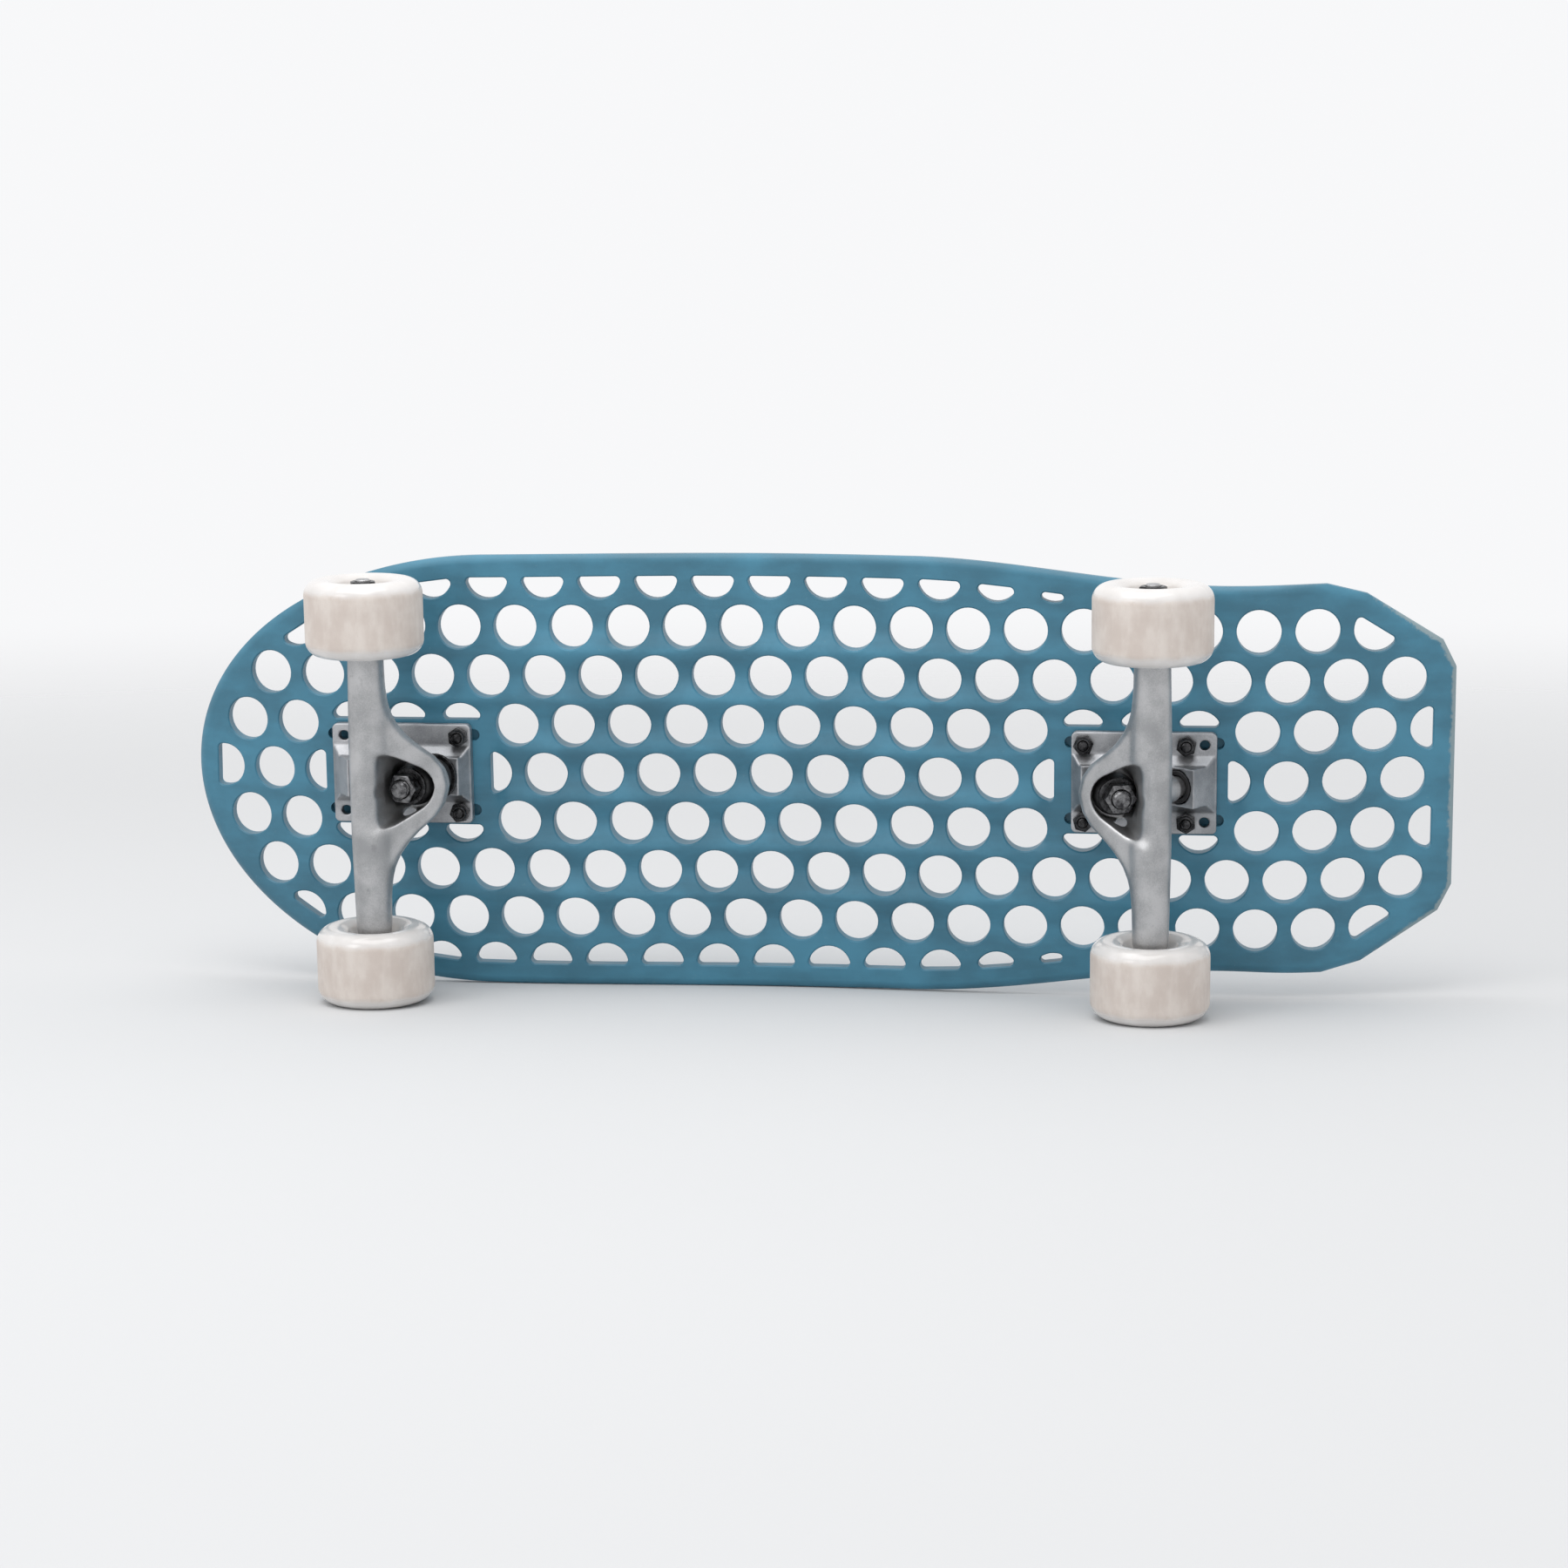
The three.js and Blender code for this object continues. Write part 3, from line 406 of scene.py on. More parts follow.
PLASTIC_FINISH = deck_plastic()
CAST = cast_aluminium("cast_hanger", (0.35, 0.355, 0.362), (0.54, 0.54, 0.545), 0.34, 0.5)
# The baseplates get a darker, bluer copy of the cast aluminium: painted shade, and a painted reflection of
# the blue deck beside them.
SHADED_PLATE_CAST = cast_aluminium("cast_plate_painted_shade", (0.29, 0.3, 0.315), (0.5, 0.505, 0.52), 0.38, 0.54)
STEEL = metal("bright_steel", (0.36, 0.36, 0.365), (0.6, 0.6, 0.605), 0.3)
DARK_STEEL = metal("dark_steel", (0.05, 0.05, 0.052), (0.14, 0.14, 0.143), 0.34)
BLACK_OXIDE = metal("black_oxide", (0.014, 0.014, 0.015), (0.075, 0.075, 0.078), 0.26, metallic=0.85)
WORN_STEEL = metal("worn_steel", (0.035, 0.035, 0.038), (0.24, 0.24, 0.245), 0.26, fine=0.003)
URETHANE = black_urethane()
WHEEL_URETHANE = wheel_urethane()
print("materials", [m.name for m in bpy.data.materials])


# %% [markdown]
# ## The deck's outline and its rule of holes
#
# The deck is drawn flat first. Its outline is half an ellipse at the nose, two gently swelling
# sides, a taper to a narrower tail and two cut corners. The holes stand on a staggered lattice. One
# rule shapes them all: a hole is cut straight where it would come closer to the outline than the
# rim's width, or reach into a truck pad, and is left out if too little of it would remain.

# %% Deck sizes, mm
PITCH, ROW_PITCH, HOLE_RADIUS = 30.48, 26.6, 11.7
RIM, LEAST_OPENING, LEAST_CUT = 11.6, 4.0, 2.5
HALF_WIDTH, WAIST, TAIL_HALF = 117.8, 103.2, 104.2
NOSE_TIP, TAIL_END, NOSE_ROUND = -PAD_X - 122.2, PAD_X + 164.3, 168.3
TAPER_START, TAPER_END, SIDE_CROWN = 73.0, 243.0, 0.7
CORNER_LENGTH, CORNER_DEPTH, END_BEVEL = 47.4, 31.5, 7.0
PAD_HALF_LENGTH, PAD_HALF_WIDTH = 1.5 * PITCH, 28.9
PLATE_LENGTH, BOLT_ROW, BOLT_COLUMNS = 76.5, 20.64, (31.75, -22.23)


def smooth(t):
    t = np.clip(t, 0.0, 1.0)
    return t * t * (3 - 2 * t)


def stretch(start_at, end_at, swell=0.0, step=5.0):
    """Points from one [x, half width] to another, easing between them, without the first."""
    (x0, y0), (x1, y1) = start_at, end_at
    count = max(1, round(math.hypot(x1 - x0, y1 - y0) / step))
    return [(x0 + (x1 - x0) * t, y0 + (y1 - y0) * smooth(t) + swell * 4 * t * (1 - t))
            for t in (np.arange(count) + 1) / count]


def straight(start_at, end_at, step=5.0):
    count = max(1, round(math.dist(start_at, end_at) / step))
    return [tuple(np.array(start_at) + (np.array(end_at) - np.array(start_at)) * (i + 1) / count)
            for i in range(count)]


nose_centre = NOSE_TIP + NOSE_ROUND
corner_start = (TAIL_END - CORNER_LENGTH - 3 * END_BEVEL, TAIL_HALF)
corners = [(TAIL_END - CORNER_LENGTH, TAIL_HALF - 0.8 * END_BEVEL),
           (TAIL_END - END_BEVEL, TAIL_HALF - CORNER_DEPTH),
           (TAIL_END, TAIL_HALF - CORNER_DEPTH - 2 * END_BEVEL)]
upper = [(nose_centre - NOSE_ROUND * math.cos(a), HALF_WIDTH * math.sin(a))
         for a in np.linspace(0, math.pi / 2, 56)]
upper += stretch(upper[-1], (TAPER_START, HALF_WIDTH), SIDE_CROWN)
upper += stretch(upper[-1], (TAPER_END, WAIST))
upper += stretch(upper[-1], corner_start)
for corner in corners:
    upper += straight(upper[-1], corner)
end_points = straight((TAIL_END, corners[-1][1]), (TAIL_END, -corners[-1][1]))[:-1]
outline = np.array(upper + end_points + [(x, -y) for x, y in upper[:0:-1]])
outline = outline[::-1]  # anticlockwise, so that inwards is on the left of each edge
print("outline", len(outline), "points")


# %% Cutting holes to the rule
def toward(points):
    """Unit normals that point inwards at each point of a closed outline."""
    edge = np.roll(points, -1, 0) - np.roll(points, 1, 0)
    normal = np.stack([-edge[:, 1], edge[:, 0]], 1)
    return normal / np.linalg.norm(normal, axis=1)[:, None]


def rim_cut(centre):
    """The half plane that keeps a hole clear of the rim: [normal, reach]."""
    a, b = outline, np.roll(outline, -1, 0)
    edge = b - a
    t = np.clip(((centre - a) * edge).sum(1) / (edge ** 2).sum(1), 0, 1)
    foot = a + edge * t[:, None]
    i = int(np.argmin(np.linalg.norm(foot - centre, axis=1)))
    normal = np.array([edge[i, 1], -edge[i, 0]]) / np.linalg.norm(edge[i])
    return normal, float(normal @ foot[i]) - RIM


def pad_cut(centre, side):
    dx = centre[0] - side * PAD_X
    if abs(dx) - PAD_HALF_LENGTH > abs(centre[1]) - PAD_HALF_WIDTH:
        sign = -math.copysign(1, dx)
        return np.array([sign, 0.0]), sign * side * PAD_X - PAD_HALF_LENGTH
    return np.array([0.0, -math.copysign(1, centre[1])]), -PAD_HALF_WIDTH


def clip(points, normal, reach):
    kept = []
    for a, b in zip(points, np.roll(points, -1, 0)):
        over, following = normal @ a - reach, normal @ b - reach
        if over <= 0:
            kept.append(a)
        if over * following < 0:
            kept.append(a + (b - a) * over / (over - following))
    return np.array(kept)


HOLE_SIDES, FINE_SIDES, CORNER = 36, 144, 2.6


def unit_circle(sides):
    return np.array([(math.cos(a), math.sin(a)) for a in 2 * math.pi * np.arange(sides) / sides])


circle, fine_circle = unit_circle(HOLE_SIDES), unit_circle(FINE_SIDES)


def with_round_corners(core, corner, step=2.0):
    """A convex outline grown by the corner radius, each long side divided into steps."""
    grown = [core[int(np.argmax(core @ way))] + corner * way for way in fine_circle[::4]]
    divided = []
    for a, b in zip(grown, grown[1:] + grown[:1]):
        count = max(1, round(np.linalg.norm(b - a) / step))
        divided += [a + (b - a) * i / count for i in range(count)]
    return np.array(divided)


def hole_at(centre):
    cuts, least = [], 2 * HOLE_RADIUS
    for normal, reach in (rim_cut(centre), pad_cut(centre, -1), pad_cut(centre, 1)):
        opening = reach - normal @ centre + HOLE_RADIUS
        if opening < LEAST_OPENING:
            return None
        if opening <= 2 * HOLE_RADIUS - LEAST_CUT:
            cuts.append((normal, reach))
            least = min(least, opening)
    if not cuts:
        return centre + HOLE_RADIUS * circle
    corner = min(CORNER, 0.42 * least)
    core = centre + (HOLE_RADIUS - corner) * fine_circle
    for normal, reach in cuts:
        core = clip(core, normal, reach - corner)
    return with_round_corners(core, corner)


def half_width_at(x):
    side = np.array(upper)
    return np.interp(x, side[:, 0], side[:, 1], left=0, right=0)


holes = []
for row in range(-4, 5):
    for column in range(-12, 13):
        centre = np.array([column * PITCH + (PITCH / 2 if row % 2 else 0), row * ROW_PITCH])
        made = hole_at(centre) if abs(centre[1]) < half_width_at(centre[0]) else None
        if made is not None:
            holes.append(made)
print("holes", len(holes))

# %% [markdown]
# ## Filling the sheet
#
# A flat face with 168 holes has to be divided finely and evenly before it can be bent, or the
# bends would show as creases. So the outline, the holes and an inner line round each of them for
# its chamfer are joined with a grid of points by a constrained triangulation, and the triangles
# inside the holes are dropped. Solidify then gives the sheet its thickness, with clean walls.

# %% A fine flat sheet
CHAMFER = 0.7  # width of the eased edge round each hole
RIM_LINES = (0.8, 2.0, 3.3, 4.3)  # lines inside the outline that carry its rounded edge
inward = toward(outline)
loops = [outline] + [outline + inward * d for d in RIM_LINES]
for points in holes:
    loops += [points, points - toward(points) * CHAMFER]
SLOT = (14.0, 6.4, 4.0)  # length, width and depth of the blind slots past each plate's ends
SLOT_SHOWS = 3.8  # how far a slot reaches past its plate
SLOT_LINE, BOLT_LINE = 0.3, 0.4  # widths of the eased edges of the slots and bolt holes
BOLT_HOLE = 5.0
slots, bolt_places = [], []
for side in (-1, 1):
    for end in (-1, 1):
        for y in (-BOLT_ROW, BOLT_ROW):
            reach = PLATE_LENGTH / 2 + SLOT_SHOWS - SLOT[0] / 2
            middle = np.array([side * PLATE_X + end * reach, y])
            run, half = SLOT[0] / 2 - SLOT[1] / 2, SLOT[1] / 2
            arc = np.linspace(-math.pi / 2, math.pi / 2, 11)
            cap = np.stack([run + half * np.cos(arc), half * np.sin(arc)], 1)
            slots.append(middle + np.concatenate([cap, -cap]))
    for x in BOLT_COLUMNS:
        for y in (-BOLT_ROW, BOLT_ROW):
            bolt_places.append(np.array([side * PLATE_X - side * x, y]))
bolt_holes = [place + BOLT_HOLE * circle for place in bolt_places]
for points in slots:
    loops += [points, points + toward(points) * SLOT_LINE]
for points in bolt_holes:
    loops += [points, points - toward(points) * BOLT_LINE]


def inside(points, polygon):
    """Whether each point is inside a closed polygon."""
    x, y = points[:, :1], points[:, 1:]
    ax, ay = polygon[:, 0], polygon[:, 1]
    bx, by = np.roll(ax, -1), np.roll(ay, -1)
    crosses = ((ay > y) != (by > y)) & (x < (bx - ax) * (y - ay) / np.where(by == ay, 1e-9, by - ay) + ax)
    return crosses.sum(1) % 2 == 1


GRID_STEP, CLEAR_OF_HOLES = 4.4, 1.4
offsets = np.array([0, 2.0, 4.2, 6.6, 9.0, 11.2, 12.5])  # lines of the grid beside each ridge
lines = sorted({round(row * ROW_PITCH + s * o, 3) for row in range(-5, 6) for s in (-1, 1) for o in offsets}
               | {(row + 0.5) * ROW_PITCH for row in range(-5, 5)})
grid = np.array([(x + (GRID_STEP / 2 if i % 2 else 0), y) for i, y in enumerate(lines)
                 for x in np.arange(NOSE_TIP, TAIL_END, GRID_STEP)])
grid = grid[inside(grid, outline + inward * (RIM_LINES[-1] + 1.2))]
keep = np.ones(len(grid), bool)
for points in holes + slots + bolt_holes:
    centre = points.mean(0)
    near = np.abs(grid - centre).max(1) < HOLE_RADIUS + 4
    grown = points - toward(points) * CLEAR_OF_HOLES
    keep[near] &= ~inside(grid[near], grown)
grid = grid[keep]
points_2d, edges = [], []
for loop in loops:
    first = len(points_2d)
    points_2d += [tuple(p) for p in loop]
    edges += [(first + i, first + (i + 1) % len(loop)) for i in range(len(loop))]
points_2d += [tuple(p) for p in grid]
verts, _, faces, _, _, _ = delaunay_2d_cdt([Vector(p) for p in points_2d], edges, [], 0, 1e-5)
flat = np.array([tuple(v) for v in verts])
triangles = np.array(faces)
middles = flat[triangles].mean(1)
solid = inside(middles, outline)
for points in holes + bolt_holes:
    near = np.abs(middles - points.mean(0)).max(1) < HOLE_RADIUS + 4
    solid[near] &= ~inside(middles[near], points)
triangles = triangles[solid]
print("sheet", len(flat), "points", len(triangles), "triangles")

# %% [markdown]
# ## Bending the sheet
#
# The mounting pads are flat. Between them the deck bows away from the wheels, past them the nose
# and the tail kick up, and the long edges curl a little. Lengthwise ridges stand between the rows
# of holes on the underside. Each is one height formula, so the deck is bent by adding them up.

# %% Height of the underside, mm
CAMBER, EDGE_RISE = 7.0, 2.2
NOSE_KICK, TAIL_KICK = (42.0, 80.0, 14.5), (60.0, 100.0, 15.6)  # start past the pad, radius, degrees
RIDGE, LOW_RIDGE, RIDGE_FADE = 5.4, 2.4, 50.0
NOSE_RIDGE_END, TAIL_RIDGE_END = -240.0, 325.0
SOFTNESS = 0.955  # how nearly the ridges are plain slopes; 1 would leave sharp crests


def kick(distance, begin, radius, degrees):
    a = math.radians(degrees)
    distance = np.maximum(distance - begin, 0)
    arc = radius * math.sin(a)
    return np.where(distance < arc, radius - np.sqrt(np.maximum(radius ** 2 - distance ** 2, 0)),
                    radius * (1 - math.cos(a)) + (distance - arc) * math.tan(a))


def surface(x, y):
    between = PAD_X - PAD_HALF_LENGTH
    bow = np.where(np.abs(x) < between, CAMBER * (1 + np.cos(math.pi * x / between)) / 2, 0)
    out = np.maximum(0, np.abs(y) - PAD_HALF_WIDTH) / (HALF_WIDTH - PAD_HALF_WIDTH)
    return -bow - kick(-PAD_X - x, *NOSE_KICK) - kick(x - PAD_X, *TAIL_KICK) - EDGE_RISE * out ** 2


def ridges(x, y):
    def rising(distance):
        return smooth(distance / RIDGE_FADE)
    middle = rising(PAD_X - PAD_HALF_LENGTH - np.abs(x))
    height = LOW_RIDGE + (RIDGE - LOW_RIDGE) * middle
    ends = rising(x - NOSE_RIDGE_END) * rising(TAIL_RIDGE_END - x)
    beside = np.maximum(np.abs(y) - PAD_HALF_WIDTH, np.abs(np.abs(x) - PAD_X) - PAD_HALF_LENGTH)
    floor_angle = math.acos(SOFTNESS)
    slope_angle = np.arccos(SOFTNESS * np.cos(2 * math.pi * y / ROW_PITCH))
    slopes = (slope_angle - floor_angle) / (math.pi - 2 * floor_angle)
    outer = smooth((3.06 * ROW_PITCH - np.abs(y)) / 3.0)
    return height * ends * smooth(beside / 12) * outer * slopes


# %% The deck
def edge_distance(points):
    """How far each point is inside the outline."""
    best = np.full(len(points), 1e9)
    for a, b in zip(outline, np.roll(outline, -1, 0)):
        edge = b - a
        t = np.clip(((points - a) @ edge) / (edge @ edge), 0, 1)
        best = np.minimum(best, np.linalg.norm(points - a - t[:, None] * edge, axis=1))
    return best


def make_deck():
    mesh = bpy.data.meshes.new("deck_looks")
    mesh.from_pydata([(x * MM, y * MM, 0) for x, y in flat], [], triangles.tolist())
    deck = bpy.data.objects.new("deck_looks", mesh)
    bpy.context.scene.collection.objects.link(deck)
    edit(deck)
    bpy.ops.mesh.delete_loose()
    bpy.ops.mesh.normals_make_consistent(inside=False)
    done()
    modify(deck, "SOLIDIFY", thickness=THICKNESS * MM, offset=-1)
    count = len(deck.data.vertices)
    co = np.empty(count * 3, np.float32)
    deck.data.vertices.foreach_get("co", co)
    co = co.reshape(-1, 3).astype(float) / MM
    underside = co[:, 2] > co[:, 2].mean()
    x, y = co[:, 0], co[:, 1]
    rim = edge_distance(co[:, :2])
    wall = np.zeros(count, bool)
    for face in deck.data.polygons:
        if abs(face.normal.z) < 0.5:
            wall[list(face.vertices)] = True
    hole_edge = wall & (rim > RIM / 2)
    drop = np.where(hole_edge, CHAMFER, 0)
    slope_in = np.clip(1 - rim / RIM_LINES[2], 0, 1)
    rim_round = 1.5 * slope_in + 1.1 * (1 - np.sqrt(1 - 0.98 * np.clip(1 - rim / RIM_LINES[1], 0, 1) ** 2))
    sunk = np.zeros(count, bool)
    for points in slots:
        near = underside & (np.abs(co[:, :2] - points.mean(0)).max(1) < SLOT[0])
        sunk[near] |= inside(co[near, :2], points + toward(points) * 0.15)
    below = ridges(x, y) - drop - rim_round * 0.9 - np.where(sunk, SLOT[2], 0)
    z = surface(x, y) + np.where(underside, below, -THICKNESS + drop + rim_round * 0.7)
    deck.data.vertices.foreach_set("co", (np.stack([x, y, z], 1) * MM).astype(np.float32).ravel())
    wear = smooth(1 - rim / 5.0) * smooth((x - TAIL_END + 60) / 55) + 0.22 * smooth(1 - rim / 2.0)
    edge_wear = deck.data.attributes.new("edge_wear", "FLOAT", "POINT")
    edge_wear.data.foreach_set("value", wear.astype(np.float32))
    return deck


deck = make_deck()
print("deck", len(deck.data.vertices), "points,", len(deck.data.polygons), "faces")
place(deck, BOARD)
finish_piece(deck, "deck_looks", "board", "blue_plastic", PLASTIC_FINISH, ["deck"], angle=32)

# %% [markdown]
# ## The castings
#
# The baseplates and the hangers are cast, and machined only where they must be. A baseplate's faces
# come from its CAD node: a copy is taken, its doubles are merged, and its skin is remade in small
# even cells and relaxed. That turns every hard CAD edge into a cast radius, and leaves a closed
# skin that the grain of the finish can sit on.

# %% Casting from a CAD node
def cast(node_name, cell, passes):
    """A rounded skin of a CAD node, in cells of one size in mm, smoothed in so many passes."""
    source = nodes[node_name]
    piece = copy_of(source)
    for key in list(piece.keys()):
        del piece[key]
    piece.parent = None
    piece.matrix_world = source.matrix_world.copy()
    place(piece, source.matrix_world.copy())
    piece.hide_render = piece.hide_viewport = False
    edit(piece)
    bpy.ops.mesh.remove_doubles(threshold=1e-5)
    bpy.ops.mesh.normals_make_consistent(inside=False)
    done()
    modify(piece, "REMESH", mode="VOXEL", voxel_size=cell * MM, adaptivity=0.0)
    modify(piece, "SMOOTH", factor=0.5, iterations=passes)
    return piece


for end in TRUCKS:
    plate = cast(f"{end}_baseplate", 0.55, 4)
    # The baseplates take the darker copy of the cast finish, whose dark bluish tone is painted shade and
    # painted reflection.
    finish_piece(plate, f"{end}_baseplate_looks", "board", "cast_aluminium", SHADED_PLATE_CAST,
                 [f"{end}_baseplate"], angle=60)
print("baseplates", len(plate.data.polygons), "faces")

# %% [markdown]
# ## The hanger as one flowing casting
#
# The hanger's arms flare into a bowl round the kingpin with no edge anywhere, a shape that joined
# primitives can't give. It is written as a distance field instead: rods, a drum and a web whose
# distances are blended where they meet, which is just what the patternmaker's fillets do. The bowl
# and the bores are cut with sharper blends, and a skin of quads is wrapped round the zero level.

# %% Blended distances
def blend(a, b, k):
    """The nearer of two distances, with a fillet of about k mm."""
    h = np.clip(0.5 + 0.5 * (b - a) / k, 0, 1)
    return b + (a - b) * h - k * h * (1 - h)


def carve(a, b, k):
    """Cuts b out of a, with an edge rounded by about k mm."""
    return -blend(-a, b, k)


def skin(field, origin, cell):
    """A closed quad mesh round the part of a grid where the field is below zero."""
    inside_of = field < 0
    shape = np.array(field.shape) - 1
    total, count = np.zeros((*shape, 3)), np.zeros(tuple(shape))
    corners = [np.array((i, j, k)) for i in (0, 1) for j in (0, 1) for k in (0, 1)]
    cut = lambda array, o: array[o[0]:o[0] + shape[0], o[1]:o[1] + shape[1], o[2]:o[2] + shape[2]]
    for a in corners:
        for b in corners:
            if (b - a).sum() == 1 and (b - a).min() == 0:
                fa, fb = cut(field, a), cut(field, b)
                crossed = cut(inside_of, a) != cut(inside_of, b)
                t = np.where(crossed, fa / np.where(crossed, fa - fb, 1), 0)
                total += crossed[..., None] * (a + t[..., None] * (b - a))
                count += crossed
    used = count > 0
    number = np.full(tuple(shape), -1)
    number[used] = np.arange(used.sum())
    points = origin + cell * (np.argwhere(used) + total[used] / count[used][:, None])
    quads = []
    for axis in range(3):
        one, two = (axis + 1) % 3, (axis + 2) % 3
        step = np.eye(3, dtype=int)
        low = np.argwhere(np.diff(inside_of.astype(int), axis=axis) != 0)
        low = low[(low[:, one] > 0) & (low[:, two] > 0) & (low < shape).all(1)]
        ring = [low, low - step[one], low - step[one] - step[two], low - step[two]]
        quad = np.stack([number[tuple(r.T)] for r in ring], 1)
        leaving = inside_of[tuple(low.T)]
        quads.append(np.where(leaving[:, None], quad, quad[:, ::-1]))
    return points, np.concatenate(quads)


# %% The hanger's field
LEAN = math.radians(15)
PIN_FOOT, PIN_AXIS = (23.5, 0, 0), Vector((-math.sin(LEAN), 0, math.cos(LEAN)))
AXLE, ARM_END = (-5.5, 0, 55.0), 80.6
ARM_RADIUS = ([24, 50, 74, ARM_END], [9.0, 8.5, 8.0, 6.8])  # [distances across], [radii there]
FLARE = ([0, 9.5, 15.8, 23.4, 28.5, 35, 41, 47.5, 53.8, 60],  # how far the web reaches, likewise
         [32.5, 30.6, 26.6, 18.2, 13.6, 9.4, 7.0, 5.3, 4.1, 3.3])
RING_FROM, RING_TO, RIM_SLOPE = 26.4, 32.0, math.radians(50)
DRUM_RADIUS, DRUM_TOP, DRUM_EDGE = 16.0, 36.5, 2.5
PIVOT, PIVOT_TILT = (-19.0, 0, 13.0), math.radians(50)
STEM_RADIUS, STEM_LENGTH, STEM_BALL = ([0, 3.5, 7, 22], [6.0, 5.4, 7.2, 8.6]), 22, 6.0
WEDGE_RADIUS, WEDGE_ANGLE, WALL_SLOPE = 12.2, math.radians(31), math.radians(17)
RING_BORE, AXLE_BORE = 8.6, 4.35


def hanger_field(x, y, z):
    across = np.abs(y)
    arm_radius = np.interp(across, *ARM_RADIUS)
    arm = np.maximum(np.hypot(x - AXLE[0], z - AXLE[2]) - arm_radius, across - ARM_END)

    def swept(far_x, far_z, near_radius, far_radius):
        """A web whose section runs from the axle to a far point that depends on the place across."""
        dx, dz = far_x - AXLE[0], far_z - AXLE[2]
        reach = np.maximum(dx * dx + dz * dz, 1e-6)
        t = np.clip(((x - AXLE[0]) * dx + (z - AXLE[2]) * dz) / reach, 0, 1)
        away = np.hypot(x - AXLE[0] - dx * t, z - AXLE[2] - dz * t)
        return away - near_radius - (far_radius - near_radius) * t

    flare = np.maximum(0, (np.interp(across, *FLARE) - 3.5) / 0.7595)
    web = swept(AXLE[0] + 0.865 * flare, AXLE[2] - 0.5 * flare, arm_radius, arm_radius - 4 * flare / 38.2)
    fade = 1 - smooth(across / 42)
    heel = swept(AXLE[0] + 9.5 * fade, AXLE[2] - 24 * fade, arm_radius, arm_radius - 2 * fade)
    u = (x - PIN_FOOT[0]) * math.cos(LEAN) + z * math.sin(LEAN)
    s = -(x - PIN_FOOT[0]) * math.sin(LEAN) + z * math.cos(LEAN)
    drum_r = np.hypot(u, y) - DRUM_RADIUS + DRUM_EDGE
    drum_s = np.maximum(RING_FROM - s, s - DRUM_TOP) + DRUM_EDGE
    drum = np.hypot(np.maximum(drum_r, 0), np.maximum(drum_s, 0)) - DRUM_EDGE
    drum = np.minimum(np.maximum(drum_r, drum_s), 0) + drum
    h = (x - PIVOT[0]) * math.cos(PIVOT_TILT) + (z - PIVOT[2]) * math.sin(PIVOT_TILT)
    out = np.hypot((x - PIVOT[0]) * math.sin(PIVOT_TILT) - (z - PIVOT[2]) * math.cos(PIVOT_TILT), y)
    shaft = np.maximum(out - np.interp(h, *STEM_RADIUS), h - STEM_LENGTH)
    stem = np.where(h > 0, shaft, np.hypot(out, h) - STEM_BALL)

    body = blend(arm, web, 3.0)
    body = blend(body, blend(heel, drum, 5.0), 4.0)
    body = blend(body, stem, 3.0)
    # The bowl: a wedge with a round end on the kingpin and a sloping wall in front of the axle.
    back = across * math.sin(WEDGE_ANGLE) - u * math.cos(WEDGE_ANGLE)
    wide = across * math.cos(WEDGE_ANGLE) + u * math.sin(WEDGE_ANGLE)
    wedge = np.where(back < 0, np.hypot(u, across), wide) - WEDGE_RADIUS - 0.12 * np.maximum(0, s - 34)
    wall = 5.9 - (x - AXLE[0]) * math.cos(WALL_SLOPE) - (z - AXLE[2]) * math.sin(WALL_SLOPE)
    flared_wall = 7.1 - (x - AXLE[0]) * math.cos(RIM_SLOPE) - (z - AXLE[2]) * math.sin(RIM_SLOPE)
    bowl = -blend(-wedge, -blend(wall, flared_wall, 1.0), 9.0)
    bowl = -blend(-bowl, -(RING_TO - s), 1.5)
    body = carve(body, bowl, 2.2)
    # Room for the bushing, its washer and the nut, which stay still while the hanger rocks.
    def well(radius, play, foot, top):
        """An upright well round the kingpin, longer across by the play on each side."""
        round_pin = np.hypot(u, np.maximum(across - play, 0)) - radius
        return np.maximum(round_pin, np.maximum(foot - s, s - top))

    body = carve(body, blend(well(11.9, 1.5, RING_TO, 44.8), well(9.1, 3.5, 40, 54), 1.0), 1.0)
    body = carve(body, np.hypot(u, y) - RING_BORE, 0.8)
    return carve(body, np.hypot(x - AXLE[0], z - AXLE[2]) - AXLE_BORE, 0.3)


CELL = 0.75
low_corner = np.array([-27.0, -82.5, 5.0])
grid_axes = [low_corner[i] + CELL * np.arange(n) for i, n in enumerate((83, 221, 82))]
field = hanger_field(*np.meshgrid(*grid_axes, indexing="ij"))
hanger_points, hanger_quads = skin(field, low_corner, CELL)
for end, truck in TRUCKS.items():
    mesh = bpy.data.meshes.new("hanger")
    mesh.from_pydata((hanger_points * MM).tolist(), [], hanger_quads.tolist())
    hanger = bpy.data.objects.new("hanger", mesh)
    bpy.context.scene.collection.objects.link(hanger)
    modify(hanger, "SMOOTH", factor=0.5, iterations=3)
    place(hanger, truck)
    finish_piece(hanger, f"{end}_hanger_looks", f"{end}_hanger_body", "cast_aluminium", CAST,
                 [f"{end}_hanger"], angle=60)
print("hanger", len(hanger_quads), "faces")

# %% [markdown]
# ## Nuts
#
# A hexagon nut is cut from a bar: six flats, then a cone turned on each end that leaves the curved
# edges seen on its corners. The bar and the cone are crossed with a boolean. A lock nut also has a
# round collar that holds its nylon ring.

# %% Hexagon nuts
def joined(piece, operation, tool):
    modify(piece, "BOOLEAN", operation=operation, object=tool, solver="EXACT")
    bpy.data.objects.remove(tool)
    return piece


